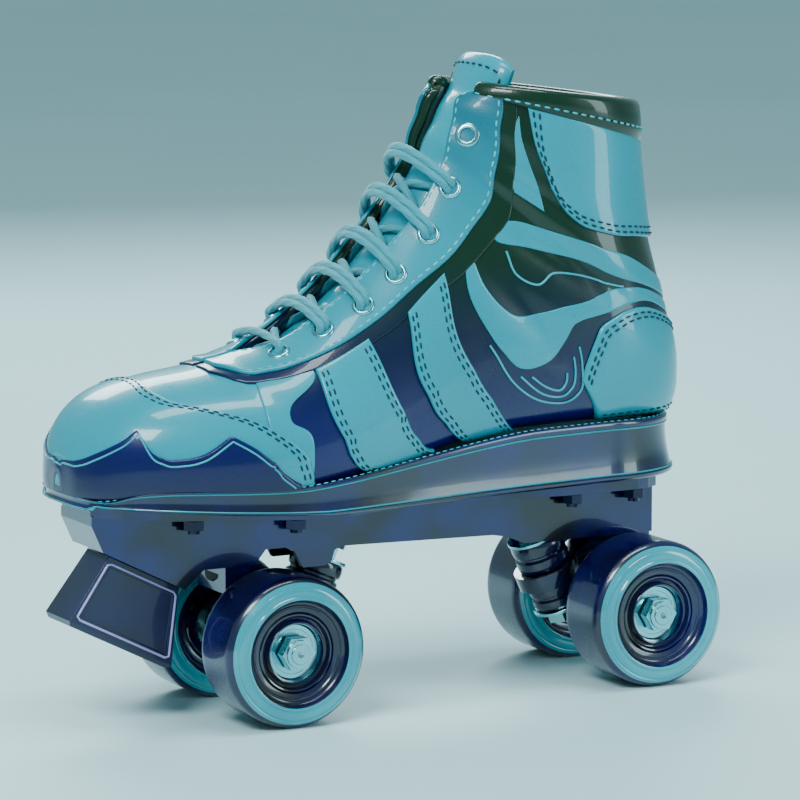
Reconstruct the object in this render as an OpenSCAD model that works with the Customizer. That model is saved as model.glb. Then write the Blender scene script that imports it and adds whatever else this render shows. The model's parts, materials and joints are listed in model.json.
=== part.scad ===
// Quad roller skate for the left foot: a lace-up ankle boot on a baseplate with two cushioned
// trucks, four wheels on ball bearings and a block toe stop.
// +X points to the toe, +Y to the wearer's left and +Z up. The origin lies on the floor,
// midway between the two axles. Lengths are millimetres.

/* [Wheels] */
// Wheel diameter
wheel_d = 62; // [60:0.5:63]
// Wheel width
wheel_w = 32; // [31:0.5:33]
// Distance between the two axles
wheelbase = 170; // [168:0.5:172]
// Width over the outer faces of the wheels
track = 100; // [100:0.5:104]
// Bore of the bearings, which is the axle's diameter
axle_d = 8; // [7.8:0.1:8]
// Outer diameter of a bearing
bearing_d = 22; // [21.8:0.1:22.2]
// Width of a bearing
bearing_w = 7; // [6.8:0.1:7]
// Number of balls in a bearing
ball_count = 7; // [6:1:8]

/* [Trucks] */
// Diameter of the cushions
cushion_d = 23; // [21:0.5:23]
// Thickness of an upper cushion
upper_cushion_h = 13; // [12:0.5:13]
// Thickness of a lower cushion
lower_cushion_h = 11; // [10:0.5:12]
// Diameter of the kingpins
kingpin_d = 8; // [7.5:0.1:8]

/* [Baseplate] */
// Height of the deck's top face over the floor
deck_z = 86; // [86:0.25:87]
// Thickness of the deck
deck_t = 5; // [4.5:0.25:5.5]
// Width of the keel under the deck
keel_w = 30; // [29:0.5:31]

/* [Boot] */
// Thickness of the upper's leather with its lining
leather_t = 3; // [2.5:0.25:3]
// Thickness of a sewn-on panel
panel_t = 1.2; // [1:0.1:1.3]
// Number of laced eyelets on each side
laced_rows = 6; // [6:1:6]

/* [Hidden] */
$fn = 64;

teal = [0.24, 0.71, 0.77];
navy = [0.03, 0.03, 0.3];
dark_green = [0.02, 0.17, 0.1];
steel = [0.7, 0.75, 0.78];
black = [0.05, 0.05, 0.07];

// ---- Shared measures --------------------------------------------------------------------------
axle_x = wheelbase / 2;
wheel_r = wheel_d / 2;
axle_r = axle_d / 2;
axle_z = wheel_r;
wheel_y = (track - wheel_w) / 2;
hair = 0.03;
gap = 0.05;
// A truck turns on a line in the side view, from the seat of its ring up and outwards to its pivot.
seat = [axle_x - 27, axle_z + 13];
pivot = [axle_x + 8, axle_z + 28];
steer_tilt = atan2(pivot[1] - seat[1], pivot[0] - seat[0]);
ring_h = 7;
ring_r = 14;
retainer_h = 1.5;
jam_nut_h = 5;
kingpin_r = kingpin_d / 2;
cushion_r = cushion_d / 2;
retainer_r = cushion_r + 0.4;
// Heights along the kingpin, from the middle of the ring.
upper_retainer_at = ring_h / 2 + upper_cushion_h + 2 * gap;
jam_nut_at = upper_retainer_at + retainer_h + gap;
boss_at = jam_nut_at + jam_nut_h + gap;
lower_retainer_at = -(ring_h / 2 + lower_cushion_h + retainer_h + 2 * gap);
kingpin_head_h = 5.5;
kingpin_head_at = lower_retainer_at - kingpin_head_h - gap;
hex_13 = 6.5 / cos(30);
pivot_ball_r = 5;
cup_r = 7.5;
cup_from = -3;
cup_to = 6.3;
bearing_in = 2;
bearing_out = bearing_in + bearing_w;
bearing_r = bearing_d / 2;
washer_h = 0.8;
nut_h = 6.2;

// ---- Curves -----------------------------------------------------------------------------------
// Catmull-Rom curve through the rows of a table, at row number t.
function clamp(v, lo, hi) = min(max(v, lo), hi);
function spline(table, t) =
    let (n = len(table) - 1, i = min(floor(clamp(t, 0, n)), n - 1), f = clamp(t, 0, n) - i,
         p1 = table[i], p2 = table[i + 1],
         p0 = i > 0 ? table[i - 1] : 2 * p1 - p2,
         p3 = i + 2 <= n ? table[i + 2] : 2 * p2 - p1)
    0.5 * (2 * p1 + f * (p2 - p0) + f * f * (2 * p0 - 5 * p1 + 4 * p2 - p3)
           + f * f * f * (3 * p1 - p0 - 3 * p2 + p3));
function mix(a, b, t) = a + (b - a) * t;
function ease(t) = let (c = clamp(t, 0, 1)) c * c * (3 - 2 * c);

// ---- The last ---------------------------------------------------------------------------------
// The boot's outer surface is a row of rings, each in a plane square to the side view. A ring runs
// from its lower or rear point [x, z] to its upper or front point [x, z]. The rest of a row is the
// half width, the share of the way up at which it is widest, and how square the lower and the
// upper half are. Rings stand upright at the toe and turn level in the shaft.
stations = [
    [166, 97, 166, 102, 1, 0.35, 3.0, 2.2],
    [164.5, 96, 164, 112, 14, 0.34, 3.4, 2.3],
    [159, 95, 158, 123.5, 26, 0.33, 4.0, 2.4],
    [147, 94, 146, 133, 36.5, 0.32, 4.3, 2.4],
    [129, 93, 127, 139.5, 43, 0.32, 4.5, 2.3],
    [106, 92.5, 104, 143.5, 46.5, 0.32, 4.5, 2.2],
    [82, 92.5, 82, 149, 47, 0.32, 4.5, 2.1],
    [55, 95, 63, 160, 45.5, 0.33, 4.5, 2.0],
    [23, 100.5, 44, 176, 42.5, 0.34, 4.3, 2.0],
    [-9, 107, 30, 193, 40.5, 0.36, 4.0, 2.0],
    [-43, 108.5, 19, 208, 39.5, 0.38, 3.6, 2.0],
    [-77, 108.5, 12, 220, 39.5, 0.40, 3.0, 2.0],
    [-106, 110.5, 7, 229, 39.5, 0.43, 2.5, 2.0],
    [-112.5, 130, 4, 235.5, 39, 0.46, 2.3, 2.1],
    [-106.5, 158, 0, 241.5, 38.5, 0.48, 2.3, 2.1],
    [-98.5, 187, -3, 246.5, 38, 0.50, 2.3, 2.2],
    [-94, 214, -6, 250, 38, 0.50, 2.3, 2.2],
    [-91, 242, -9, 253, 38.5, 0.50, 2.3, 2.2],
    [-87, 256, -14, 267, 39, 0.50, 2.3, 2.2]];
collar = 17;
throat = 5.6;
// The centre line bends towards the big toe.
function centre_y(x) = -6 * ease((x - 86) / 80);
// A point on the last: ring u, and a share of the way round from the bottom or the back (0), up
// the left side to the top or the front (1) and down the right side (2). off is outwards.
function skin(u, a, off = 0) =
    let (r = spline(stations, u), right = a < 0 || a > 1, phi = a > 1 ? 2 - a : abs(a),
         low = [r[0], r[1]], high = [r[2], r[3]], way = (high - low) / norm(high - low),
         from = low - off * way, to = high + off * way,
         power = phi <= 0.5 ? 2 / r[6] : 2 / r[7],
         y = max(r[4] + off, 0.3) * pow(abs(sin(180 * phi)), power),
         c = pow(abs(cos(180 * phi)), power),
         s = phi <= 0.5 ? r[5] * (1 - c) : r[5] + (1 - r[5]) * c,
         p = from + (to - from) * s)
    [p[0], (right ? -y : y) + centre_y(p[0]), p[1]];
function skin_normal(u, a) =
    let (n = cross(skin(u + 0.05, a) - skin(u - 0.05, a), skin(u, a + 0.01) - skin(u, a - 0.01)))
    n / norm(n);
// The lower edge of the upper, its edge at the throat, and the eyestays' outer edge.
lower_edge = [[0, 0.3], [6.5, 0.3], [8, 0.256], [9, 0.226], [10, 0.183], [11, 0.15], [12, 0.08],
              [12.4, 0], [18, 0]];
throat_edge = [[5.6, 1], [6.1, 0.95], [7, 0.915], [8, 0.895], [9, 0.87], [10, 0.86], [12, 0.87],
               [14, 0.885], [16, 0.9], [16.6, 0.885], [17, 0.85]];
stay_edge = [[5.3, 0.86], [5.8, 0.82], [6.4, 0.795], [7.2, 0.765], [8, 0.745], [8.9, 0.73],
             [9.8, 0.72], [10.9, 0.73], [12.3, 0.738], [14, 0.732], [15.8, 0.73], [17, 0.745]];

// ---- Solids from grids of points --------------------------------------------------------------
// A closed sheet between an outer and an inner grid of points of the same size.
module sheet(outer, inner) {
    n = len(outer);
    m = len(outer[0]);
    k = n * m;
    quads = concat(
        [for (i = [0:n - 2], j = [0:m - 2])
            [i * m + j, i * m + j + 1, (i + 1) * m + j + 1, (i + 1) * m + j]],
        [for (i = [0:n - 2], j = [0:m - 2])
            [k + i * m + j, k + (i + 1) * m + j, k + (i + 1) * m + j + 1, k + i * m + j + 1]],
        [for (j = [0:m - 2]) [j + 1, j, k + j, k + j + 1]],
        [for (j = [0:m - 2], e = (n - 1) * m) [e + j, e + j + 1, k + e + j + 1, k + e + j]],
        [for (i = [0:n - 2]) [i * m, (i + 1) * m, k + (i + 1) * m, k + i * m]],
        [for (i = [0:n - 2], e = i * m + m - 1) [e + m, e, k + e, k + e + m]]);
    polyhedron(
        points = concat([for (r = outer) each r], [for (r = inner) each r]),
        faces = [for (q = quads) each [[q[0], q[1], q[2]], [q[0], q[2], q[3]]]]);
}

// A sewn-on panel between two offsets. place(s, t) gives [ring, share round] for s, t in 0..1.
module panel(n, m, lo, hi, place) {
    grid = [for (i = [0:n]) [for (j = [0:m]) place(i / n, j / m)]];
    sheet([for (r = grid) [for (q = r) skin(q[0], q[1], hi)]],
          [for (r = grid) [for (q = r) skin(q[0], q[1], lo)]]);
}

// A round tube along a list of points. Each ring takes its first spoke from the ring before it.
function unit(v) = v / norm(v);
function square_to(v, d) = unit(v - (v * d) * d);
module tube(points, r, sides = 8) {
    n = len(points);
    along = [for (i = [0:n - 1]) unit(points[min(i + 1, n - 1)] - points[max(i - 1, 0)])];
    first = square_to(abs(along[0][2]) < 0.9 ? [0, 0, 1] : [1, 0, 0], along[0]);
    spokes = [for (i = 0, s = first; i < n; i = i + 1, s = i < n ? square_to(s, along[i]) : s) s];
    ring_points = [for (i = [0:n - 1], j = [0:sides - 1])
        points[i] + r * (spokes[i] * cos(360 * j / sides)
                         + cross(along[i], spokes[i]) * sin(360 * j / sides))];
    end = (n - 1) * sides;
    polyhedron(
        points = ring_points,
        faces = concat(
            [[for (j = [0:sides - 1]) j]],
            [[for (j = [0:sides - 1]) end + sides - 1 - j]],
            [for (i = [0:n - 2], j = [0:sides - 1])
                let (a = i * sides + j, b = i * sides + (j + 1) % sides)
                each [[a, a + sides, b + sides], [a, b + sides, b]]]));
}

// Turns the axis of a child from +Z to the direction d, at the point p.
module aim(p, d) {
    translate(p)
        rotate([0, acos(d[2] / norm(d)), atan2(d[1], d[0])])
            children();
}

// ---- Boot upper -------------------------------------------------------------------------------
panel_lo = 0.5;
panel_hi = panel_lo + panel_t;
// Side view of the face that the foot rests on, from the heel to the toe.
foot_bed = [[-125, 108.3], [-43, 108.3], [-9, 106.8], [23, 100.3], [55, 94.8], [82, 92.3],
            [106, 92.3], [129, 92.8], [147, 93.8], [159, 94.8], [172, 97]];
function bed_z(x) = lookup(x, foot_bed);
// Side view of the sole's upper edge. It dips under the toe's tip.
rim = [[-125, 111.4], [-49, 111.9], [-27, 111.6], [-5, 109.6], [23, 106], [44, 103], [64, 100.3],
       [82, 98.6], [106, 99], [129, 99.6], [140, 99.4], [150, 98], [159, 94.9], [164, 95.7],
       [172, 97.1]];
// The share round, at ring u, where the outermost panel comes out of the sole's rim.
function hem(u) =
    [for (a = [0:0.005:0.95])
        let (p = skin(u, a, panel_hi + 1.2)) if (p[2] > lookup(p[0], rim) + 0.6) a][0];

module vamp() {
    // The inner surface starts further back, which leaves the toe's tip thicker.
    inner_start = 1.2;
    n = 16;
    m = 32;
    function round_at(j) = mix(lookup(0, lower_edge), 2 - lookup(0, lower_edge), j / m);
    color(teal)
        sheet([for (i = [0:n]) [for (j = [0:m]) skin(throat * i / n, round_at(j))]],
              [for (i = [0:n]) [for (j = [0:m])
                  skin(mix(inner_start, throat, i / n), round_at(j), -leather_t)]]);
}

// The left half of a symmetric pair of panels, and its mirror image on the right.
module left_panel(n, m, lo, hi, place) {
    panel(n, m, lo, hi, place);
}
module right_panel(n, m, lo, hi, place) {
    panel(n, m, lo, hi, function (s, t) let (q = place(s, 1 - t)) [q[0], 2 - q[1]]);
}

quarter_at = function (s, t)
    let (u = mix(throat + 0.01, collar, s))
    [u, mix(lookup(u, lower_edge), lookup(u, throat_edge), t)];
module left_quarter() {
    color(dark_green) left_panel(28, 20, -leather_t, 0, quarter_at);
}
module right_quarter() {
    color(dark_green) right_panel(28, 20, -leather_t, 0, quarter_at);
}

// The cap's rear edge, by the share round. It runs forward to a point on top of the foot.
cap_edge = [[0.2, 6.2], [0.4, 6.2], [0.5, 6.1], [0.54, 5.9], [0.59, 5.58], [0.65, 5.13],
            [0.71, 4.52], [0.77, 3.95], [0.84, 3.72], [1, 3.75]];
cap_start = 0.75;
module toe_cap() {
    color(teal)
        panel(16, 30, panel_lo, panel_hi,
              function (s, t)
                  let (a = mix(0.36, 1.64, t),
                       u = mix(cap_start, lookup(min(a, 2 - a), cap_edge), s))
                  [u, a < 1 ? max(a, hem(u)) : min(a, 2 - hem(u))]);
}

// The guard's upper edge is scalloped, with two points on each side.
guard_edge = [[0, 0.97], [0.5, 0.89], [0.7, 0.78], [1.2, 0.69], [1.7, 0.65], [2.6, 0.66],
              [2.98, 0.69], [3.1, 0.6], [3.45, 0.55], [3.8, 0.54], [4.2, 0.55], [4.68, 0.605],
              [5.04, 0.56], [5.4, 0.51], [5.7, 0.48], [5.95, 0.43]];
guard_at = function (s, t)
    let (u = mix(cap_start, 5.9, s)) [u, mix(hem(u), lookup(u, guard_edge), t)];
module toe_guard() {
    lo = panel_hi + 0.75;
    hi = lo + 0.9;
    color(navy) {
        left_panel(28, 5, lo, hi, guard_at);
        right_panel(28, 5, lo, hi, guard_at);
    }
}

// Each band's front and rear edge, from the sole up to the eyestay.
bands = [
    [[[7.2, 0.36], [6.65, 0.58], [6.6, 0.75]], [[8.2, 0.33], [7.8, 0.54], [7.7, 0.725]]],
    [[[8.7, 0.33], [8.25, 0.55], [8.55, 0.7]], [[9.45, 0.33], [9.15, 0.56], [9.6, 0.705]]]];
function band_at(b) = function (s, t)
    let (q = mix(spline(b[0], 2 * t), spline(b[1], 2 * t), s))
    [q[0], mix(hem(q[0]), q[1], min(4 * t, 1))];
module side_bands() {
    color(teal)
        for (b = bands) {
            left_panel(5, 12, panel_lo, panel_hi, band_at(b));
            right_panel(5, 12, panel_lo, panel_hi, band_at(b));
        }
}

// The counter's front and upper edge, from the sole on one side to the middle of the heel.
counter_edge = [[10.75, 0.4], [11, 0.435], [11.4, 0.468], [11.9, 0.48], [12.6, 0.44],
                [13.24, 0.35], [13.6, 0.2], [13.7, 0]];
// The patch's lower edge, by the share round.
patch_low = [[0, 15], [0.2, 14.85], [0.36, 14.46], [0.47, 13.96], [0.54, 13.6], [0.575, 13.65],
             [0.6, 13.95]];
module heel_counter() {
    color(teal)
        panel(8, 36, panel_lo + 0.45, panel_hi + 0.45,
              function (s, t)
                  let (k = 1 - abs(2 * t - 1), u = mix(10.7, 12.35, k),
                       q = mix([u, hem(u)], spline(counter_edge, 7 * k), s))
                  [q[0], t < 0.5 ? q[1] : -q[1]]);
}
module ankle_patch() {
    color(teal)
        panel(8, 36, panel_lo, panel_hi,
              function (s, t)
                  let (half = mix(0.6, 0.66, s), a = mix(-half, half, t))
                  [mix(lookup(0.6 * abs(a) / half, patch_low), 16.5, s), a]);
}

stay_at = function (s, t)
    let (u = mix(5.75, 16.95, s)) [u, mix(lookup(u, stay_edge), lookup(u, throat_edge) - 0.005, t)];
module left_eyestay() {
    color(teal) left_panel(26, 5, panel_lo, panel_hi, stay_at);
}
module right_eyestay() {
    color(teal) right_panel(26, 5, panel_lo, panel_hi, stay_at);
}

module collar_binding() {
    binding_r = 2.4;
    edge = lookup(collar, throat_edge);
    color(dark_green)
        tube([for (i = [0:36]) skin(collar, mix(-edge, edge, i / 36), -leather_t / 2)
              + [0, 0, binding_r + 0.4]], binding_r);
}

lace_r = 1.4;
lace_clear = 0.25;
lace_over = panel_hi + 1.7 + lace_r + lace_clear;
lace_under = -leather_t - lace_r - lace_clear;
tongue_hi = lace_under - lace_r - 0.7;
tongue_t = 4.5;
module tongue() {
    color(teal)
        panel(22, 8, tongue_hi - tongue_t, tongue_hi,
              function (s, t)
                  let (half = mix(0.14, 0.24, s), top = 17.9 - 0.5 * pow(2 * t - 1, 2))
                  [mix(5.9, top, s), mix(1 - half, 1 + half, t)]);
}

// Ring and share round of each laced eyelet on the left side, toe to ankle, and the free top one.
eyelet_at = [[6.15, 0.875], [7.1, 0.84], [7.9, 0.805], [8.75, 0.79], [9.85, 0.79], [11.25, 0.815]];
top_eyelet_at = [13.7, 0.82];
module eyelet_pair(at, outer_r, hole_r) {
    for (a = [at[1], 2 - at[1]])
        aim(skin(at[0], a, panel_hi + 0.35), skin_normal(at[0], a))
            rotate_extrude()
                polygon([[hole_r, 0], [outer_r, 0], [outer_r - 0.4, 0.8], [hole_r + 0.6, 1.2],
                         [hole_r, 0.8]]);
}
module eyelets() {
    color(steel) {
        for (at = eyelet_at) eyelet_pair(at, 4.9, 3.1);
        eyelet_pair(top_eyelet_at, 5.3, 2.8);
    }
}

// One lace with two halves. In each row above the first, a half comes up through one eyelet, runs
// over the throat beside the other half and goes down through the opposite eyelet. It then crosses
// under the throat to the next row. Both ends are tucked in beside the tongue.
strand_gap = 1.5;
module laces() {
    over = [0.03, 0.1, 0.2, 0.35, 0.5, 0.65, 0.8, 0.9, 0.97];
    under = [0.05, 0.15, 0.3, 0.4, 0.5, 0.6, 0.7, 0.85, 0.95];
    // Half 1 starts its bars on the right, and half -1 on the left. share runs from 0, where the
    // bar starts, to 1. The halves lie beside each other along u.
    function round_at(i, half, share) =
        let (a = eyelet_at[i][1]) half > 0 ? mix(2 - a, a, share) : mix(a, 2 - a, share);
    function beside(u, a, h, shift) =
        skin(u, a, h) + shift * unit(skin(u + 0.05, a, h) - skin(u - 0.05, a, h));
    // Half 1 is lifted over the other half in the middle of the throat.
    function lift(t, half) = half > 0 ? 3.2 * max(0, 1 - pow((t - 0.5) / 0.3, 2)) : 0;
    function cross_under(i, half) =
        [for (t = under)
            skin(mix(eyelet_at[i][0], eyelet_at[i + 1][0], t),
                 mix(round_at(i, half, 1), round_at(i + 1, half, 0), t),
                 lace_under + lift(t, half))];
    function row(i, half) =
        let (u = eyelet_at[i][0], shift = half * strand_gap,
             p = function (t, h) beside(u, round_at(i, half, t), h, shift))
        concat([for (h = [lace_under + 0.5, -1.5, 2.4]) p(0, h)],
               [for (t = over) p(t, lace_over)],
               [for (h = [2.4, -1.5, lace_under + 0.5]) p(1, h)]);
    last_row = laced_rows - 1;
    function strand(half) =
        concat([for (i = [1:last_row]) each concat(cross_under(i - 1, half), row(i, half))],
               [for (more = [0.5, 1.2])
                   skin(eyelet_at[last_row][0] + more, round_at(last_row, half, 1), lace_under)]);
    first_row = let (u = eyelet_at[0][0], a = eyelet_at[0][1])
        concat([for (h = [lace_under + 0.5, -1.5, 2.4]) skin(u, a, h)],
               [for (t = over) skin(u, mix(a, 2 - a, t), lace_over)],
               [for (h = [2.4, -1.5, lace_under + 0.5]) skin(u, 2 - a, h)]);
    color(teal) tube(concat(reversed(strand(1)), first_row, strand(-1)), lace_r, 6);
}

// ---- Soles ------------------------------------------------------------------------------------
// Half of the sole's outline seen from above, from the toe to the heel, for a margin round the
// last. The toe and the heel are superellipses and the waist is a curve between them.
toe_centre = 82;
toe_len = 80;
heel_centre = -70;
heel_len = 36.5;
waist = [[82, 46], [55, 44.5], [23, 41], [-9, 37.2], [-43, 33.6], [-70, 31]];
function half_outline(grow) =
    concat(
        [for (i = [0:14]) let (c = 90 * i / 14)
            [toe_centre + (toe_len + grow) * pow(cos(c), 2 / 3),
             (waist[0][1] + grow) * pow(sin(c), 2 / 3)]],
        [for (i = [1:9]) let (p = spline(waist, i / 2)) [p[0], p[1] + grow]],
        [for (i = [0:14]) let (c = 90 * i / 14)
            [heel_centre - (heel_len + grow) * pow(sin(c), 0.87),
             (waist[5][1] + grow) * pow(cos(c), 0.87)]]);
function outline(grow) =
    let (h = half_outline(grow), n = len(h))
    concat([for (p = h) [p[0], p[1] + centre_y(p[0])]],
           [for (i = [n - 2:-1:1]) [h[i][0], -h[i][1] + centre_y(h[i][0])]]);
// Stands a side-view outline [x, z] up in the XZ plane, with a width along Y.
module side_slab(points, width) {
    rotate([90, 0, 0])
        linear_extrude(width, center = true)
            polygon(points);
}
function raised(path, h) = [for (p = path) [p[0], p[1] + h]];
function reversed(path) = [for (i = [len(path) - 1:-1:0]) path[i]];
toe_rise_x = 70;
toe_rise = 7.4 / 102;
function deck_top(x) = deck_z + max(0, x - toe_rise_x) * toe_rise;
bolt_x = [118, 72, -58, -88];
bolt_y = 20.5;
bolt_r = 2.5;
bolt_head_r = 4.8;
bolt_head_h = 1.8;
plate_nut_h = 4;

module outsole() {
    // The sole's tip hangs a little lower than the plate's front end.
    lip_x = 161.5;
    lip = 2.2;
    under = [[172, deck_top(172) - lip], [lip_x, deck_top(lip_x) - lip],
             [lip_x, deck_top(lip_x) + gap], [toe_rise_x, deck_z + gap], [-125, deck_z + gap]];
    color(navy)
        difference() {
            intersection() {
                side_slab(concat(rim, under), 120);
                linear_extrude(200) polygon(outline(3.4));
            }
            intersection() {
                side_slab(concat(foot_bed, raised(reversed(foot_bed), 30)), 120);
                linear_extrude(200) polygon(outline(0.8));
            }
            for (x = bolt_x, side = [-1, 1])
                translate([x, side * bolt_y, 0]) {
                    translate([0, 0, deck_z - 10]) cylinder(r = bolt_r + 0.1, h = 60);
                    translate([0, 0, bed_z(x) - bolt_head_h - 0.3])
                        cylinder(r = bolt_head_r + 0.3, h = 30);
                }
        }
}

module insole() {
    color(teal)
        intersection() {
            side_slab(concat(raised(foot_bed, 0.2), raised(reversed(foot_bed), 2.1)), 120);
            linear_extrude(200) polygon(outline(-8));
        }
}

module plate_bolts() {
    color(steel)
        for (x = bolt_x, side = [-1, 1])
            translate([x, side * bolt_y, 0]) {
                head_at = bed_z(x) - bolt_head_h - 0.15;
                shank_at = deck_top(x) - deck_t - plate_nut_h - 2;
                translate([0, 0, shank_at]) cylinder(r = bolt_r, h = head_at + 0.5 - shank_at);
                translate([0, 0, head_at]) cylinder(r = bolt_head_r, h = bolt_head_h);
            }
}

module plate_nuts() {
    color(steel)
        for (x = bolt_x, side = [-1, 1])
            translate([x, side * bolt_y, deck_top(x) - deck_t - plate_nut_h - 0.45])
                difference() {
                    cylinder(r = 4.6, h = plate_nut_h, $fn = 6);
                    translate([0, 0, -1]) cylinder(r = bolt_r + hair, h = plate_nut_h + 2);
                }
}

// ---- Baseplate --------------------------------------------------------------------------------
// Turns the front end's children about Z for the rear end.
module at_end(end) {
    rotate([0, 0, end == "rear" ? 180 : 0])
        children();
}
// Puts a child at a height along the kingpin, with +Z up the kingpin.
module on_kingpin(h = 0) {
    translate([seat[0], 0, seat[1]])
        rotate([0, -steer_tilt, 0])
            translate([0, 0, h])
                children();
}
// Puts a child at the pivot, with +Z outwards along the steering axis.
module on_pivot(h = 0) {
    translate([pivot[0], 0, pivot[1]])
        rotate([0, 90 - steer_tilt, 0])
            translate([0, 0, h])
                children();
}
// Puts a child on the toe stop's pad, with +X up the pad towards the toe and +Z into the plate.
pad_centre = [137.6, 63.8];
pad_tilt = 26.9;
module on_pad() {
    translate([pad_centre[0], 0, pad_centre[1]])
        rotate([0, -pad_tilt, 0])
            children();
}

plate_rear = -100.5;
plate_front = 160.5;
deck_half = [[-100.5, 17], [-98, 22], [-92, 25.5], [-86, 27], [-50, 27], [-25, 21], [25, 21],
             [50, 27], [130, 27], [150, 22], [160.5, 14]];
// The keel's lower edge in the side view, from the rear end to the toe stop's pad.
keel_edge = [[-100.5, 60], [-38, 60], [-30, 63.5], [-23, 64.8], [49, 66.5], [51.5, 65], [53, 60.5],
             [56, 59], [66, 59], [70, 66], [74, 68], [83, 68], [88, 62], [111, 62], [119.7, 54.7],
             [155.5, 72.9], [160.5, 84]];
wall_t = 2.5;
stop_bolt_r = 5;
stop_bolt_in = 15;
module baseplate() {
    channel_w = keel_w - 2 * wall_t;
    under_deck = deck_z - deck_t;
    color(navy)
        difference() {
            union() {
                intersection() {
                    side_slab([[plate_rear, deck_z], [toe_rise_x, deck_z],
                               [plate_front, deck_top(plate_front)],
                               [plate_front, deck_top(plate_front) - deck_t],
                               [toe_rise_x, under_deck], [plate_rear, under_deck]], 60);
                    linear_extrude(100)
                        polygon(concat([for (p = deck_half) [p[0], -p[1]]], reversed(deck_half)));
                }
                difference() {
                    side_slab(concat(keel_edge, [[plate_front, 88], [toe_rise_x, 82],
                                                 [plate_rear, 82]]), keel_w);
                    side_slab([[-94.1, 0], [-94.1, 48.2], [-80.8, under_deck],
                               [80.8, under_deck], [94.1, 48.2], [94.1, 0]], channel_w);
                    side_slab([[103, 0], [103, 79], [117, 79], [117, 0]], channel_w);
                }
                for (x = [-24, 0, 24])
                    side_slab([[x - 1.5, 67.5], [x + 1.5, 67.5], [x + 1.5, 82], [x - 1.5, 82]],
                              keel_w - 1);
                for (end = ["front", "rear"])
                    at_end(end) {
                        intersection() {
                            on_kingpin(boss_at) cylinder(r = 9, h = 30);
                            translate([0, -20, 0]) cube([100, 40, 82]);
                        }
                        side_slab([[80.4, 81.5], [94.1, 48.2], [100.4, 50.6], [100.4, 81.5]],
                                  channel_w + 1);
                    }
            }
            for (end = ["front", "rear"])
                at_end(end) {
                    on_kingpin() cylinder(r = kingpin_r + hair, h = boss_at + 13);
                    on_pivot(-12) cylinder(r = cup_r + hair, h = cup_to + 12 + gap);
                }
            on_pad() translate([0, 0, -5]) cylinder(r = stop_bolt_r + hair, h = stop_bolt_in + 6);
            for (x = bolt_x, side = [-1, 1])
                translate([x, side * bolt_y, 60]) cylinder(r = bolt_r + 0.1, h = 40);
        }
}

// ---- Toe stop ---------------------------------------------------------------------------------
stop_h = 32;
stop_rim = 1.8;
stop_pocket = 8;
module toe_stop() {
    side = [[-19.5, -gap], [14.9, -gap], [20, stop_rim - stop_h], [18.4, -stop_h],
            [-28.6, -stop_h], [-30.2, stop_rim - stop_h]];
    across = [[-10.5, -gap], [10.5, -gap], [12, stop_rim - stop_h], [10.8, -stop_h],
              [-10.8, -stop_h], [-12, stop_rim - stop_h]];
    recess = [[-18.5, -4], [12.6, -4], [16.2, -27], [-25.8, -27]];
    color(navy)
        on_pad()
            difference() {
                intersection() {
                    side_slab(side, 40);
                    translate([-40, 0, 0])
                        rotate([90, 0, 90])
                            linear_extrude(80)
                                polygon(across);
                }
                for (y = [-12.6, 12.6])
                    translate([0, y, 0]) side_slab(recess, 4.4);
                translate([0, 0, -stop_h - 1]) cylinder(r = stop_bolt_r + 0.2, h = stop_h + 2);
                translate([0, 0, -stop_h - 1]) cylinder(r = 9, h = stop_pocket + 1);
            }
}
module toe_stop_bolt() {
    head_h = 5;
    washer = 1.2;
    color(steel)
        on_pad() {
            translate([0, 0, stop_pocket - stop_h - washer - 2 * gap - head_h])
                cylinder(r = 15 / 2 / cos(30) - 0.2, h = head_h, $fn = 6);
            translate([0, 0, stop_pocket - stop_h - washer - 2 * gap - 1])
                cylinder(r = stop_bolt_r, h = stop_h - stop_pocket + washer + 1 + stop_bolt_in);
        }
}
module toe_stop_washer() {
    color(steel)
        on_pad()
            translate([0, 0, stop_pocket - stop_h - 1.2 - gap])
                difference() {
                    cylinder(r = 8.7, h = 1.2);
                    translate([0, 0, -1]) cylinder(r = stop_bolt_r + 0.2, h = 4);
                }
}

// ---- Trucks -----------------------------------------------------------------------------------
module pivot_cup(end) {
    color(black)
        at_end(end)
            on_pivot()
                difference() {
                    translate([0, 0, cup_from]) cylinder(r = cup_r, h = cup_to - cup_from);
                    sphere(r = pivot_ball_r + hair);
                    translate([0, 0, cup_from - 1]) cylinder(r = pivot_ball_r + hair, h = 1 - cup_from);
                }
}
module kingpin(end) {
    color(steel)
        at_end(end)
            on_kingpin() {
                translate([0, 0, kingpin_head_at]) cylinder(r = hex_13, h = kingpin_head_h, $fn = 6);
                translate([0, 0, kingpin_head_at + 1])
                    cylinder(r = kingpin_r, h = boss_at + 12 - kingpin_head_at);
            }
}
module kingpin_nut(end) {
    color(steel)
        at_end(end)
            on_kingpin(jam_nut_at)
                difference() {
                    cylinder(r = hex_13, h = jam_nut_h, $fn = 6);
                    translate([0, 0, -1]) cylinder(r = kingpin_r + hair, h = jam_nut_h + 2);
                }
}
module cushion(end, from, h, r) {
    color(teal)
        at_end(end)
            on_kingpin(from)
                rotate_extrude()
                    polygon([[kingpin_r + 0.3, 0], [r - 1, 0], [r, 1], [r, h * 0.4], [r - 1, h * 0.5],
                             [r, h * 0.6], [r, h - 1], [r - 1, h], [kingpin_r + 0.3, h]]);
}
module upper_cushion(end) {
    cushion(end, ring_h / 2 + gap, upper_cushion_h, cushion_r);
}
module lower_cushion(end) {
    cushion(end, -ring_h / 2 - lower_cushion_h - gap, lower_cushion_h, cushion_r - 0.5);
}
module cushion_retainers(end) {
    color(steel)
        at_end(end)
            for (h = [upper_retainer_at, lower_retainer_at])
                on_kingpin(h)
                    difference() {
                        cylinder(r = retainer_r, h = retainer_h);
                        translate([0, 0, -1]) cylinder(r = kingpin_r + hair, h = 4);
                    }
}

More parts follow.
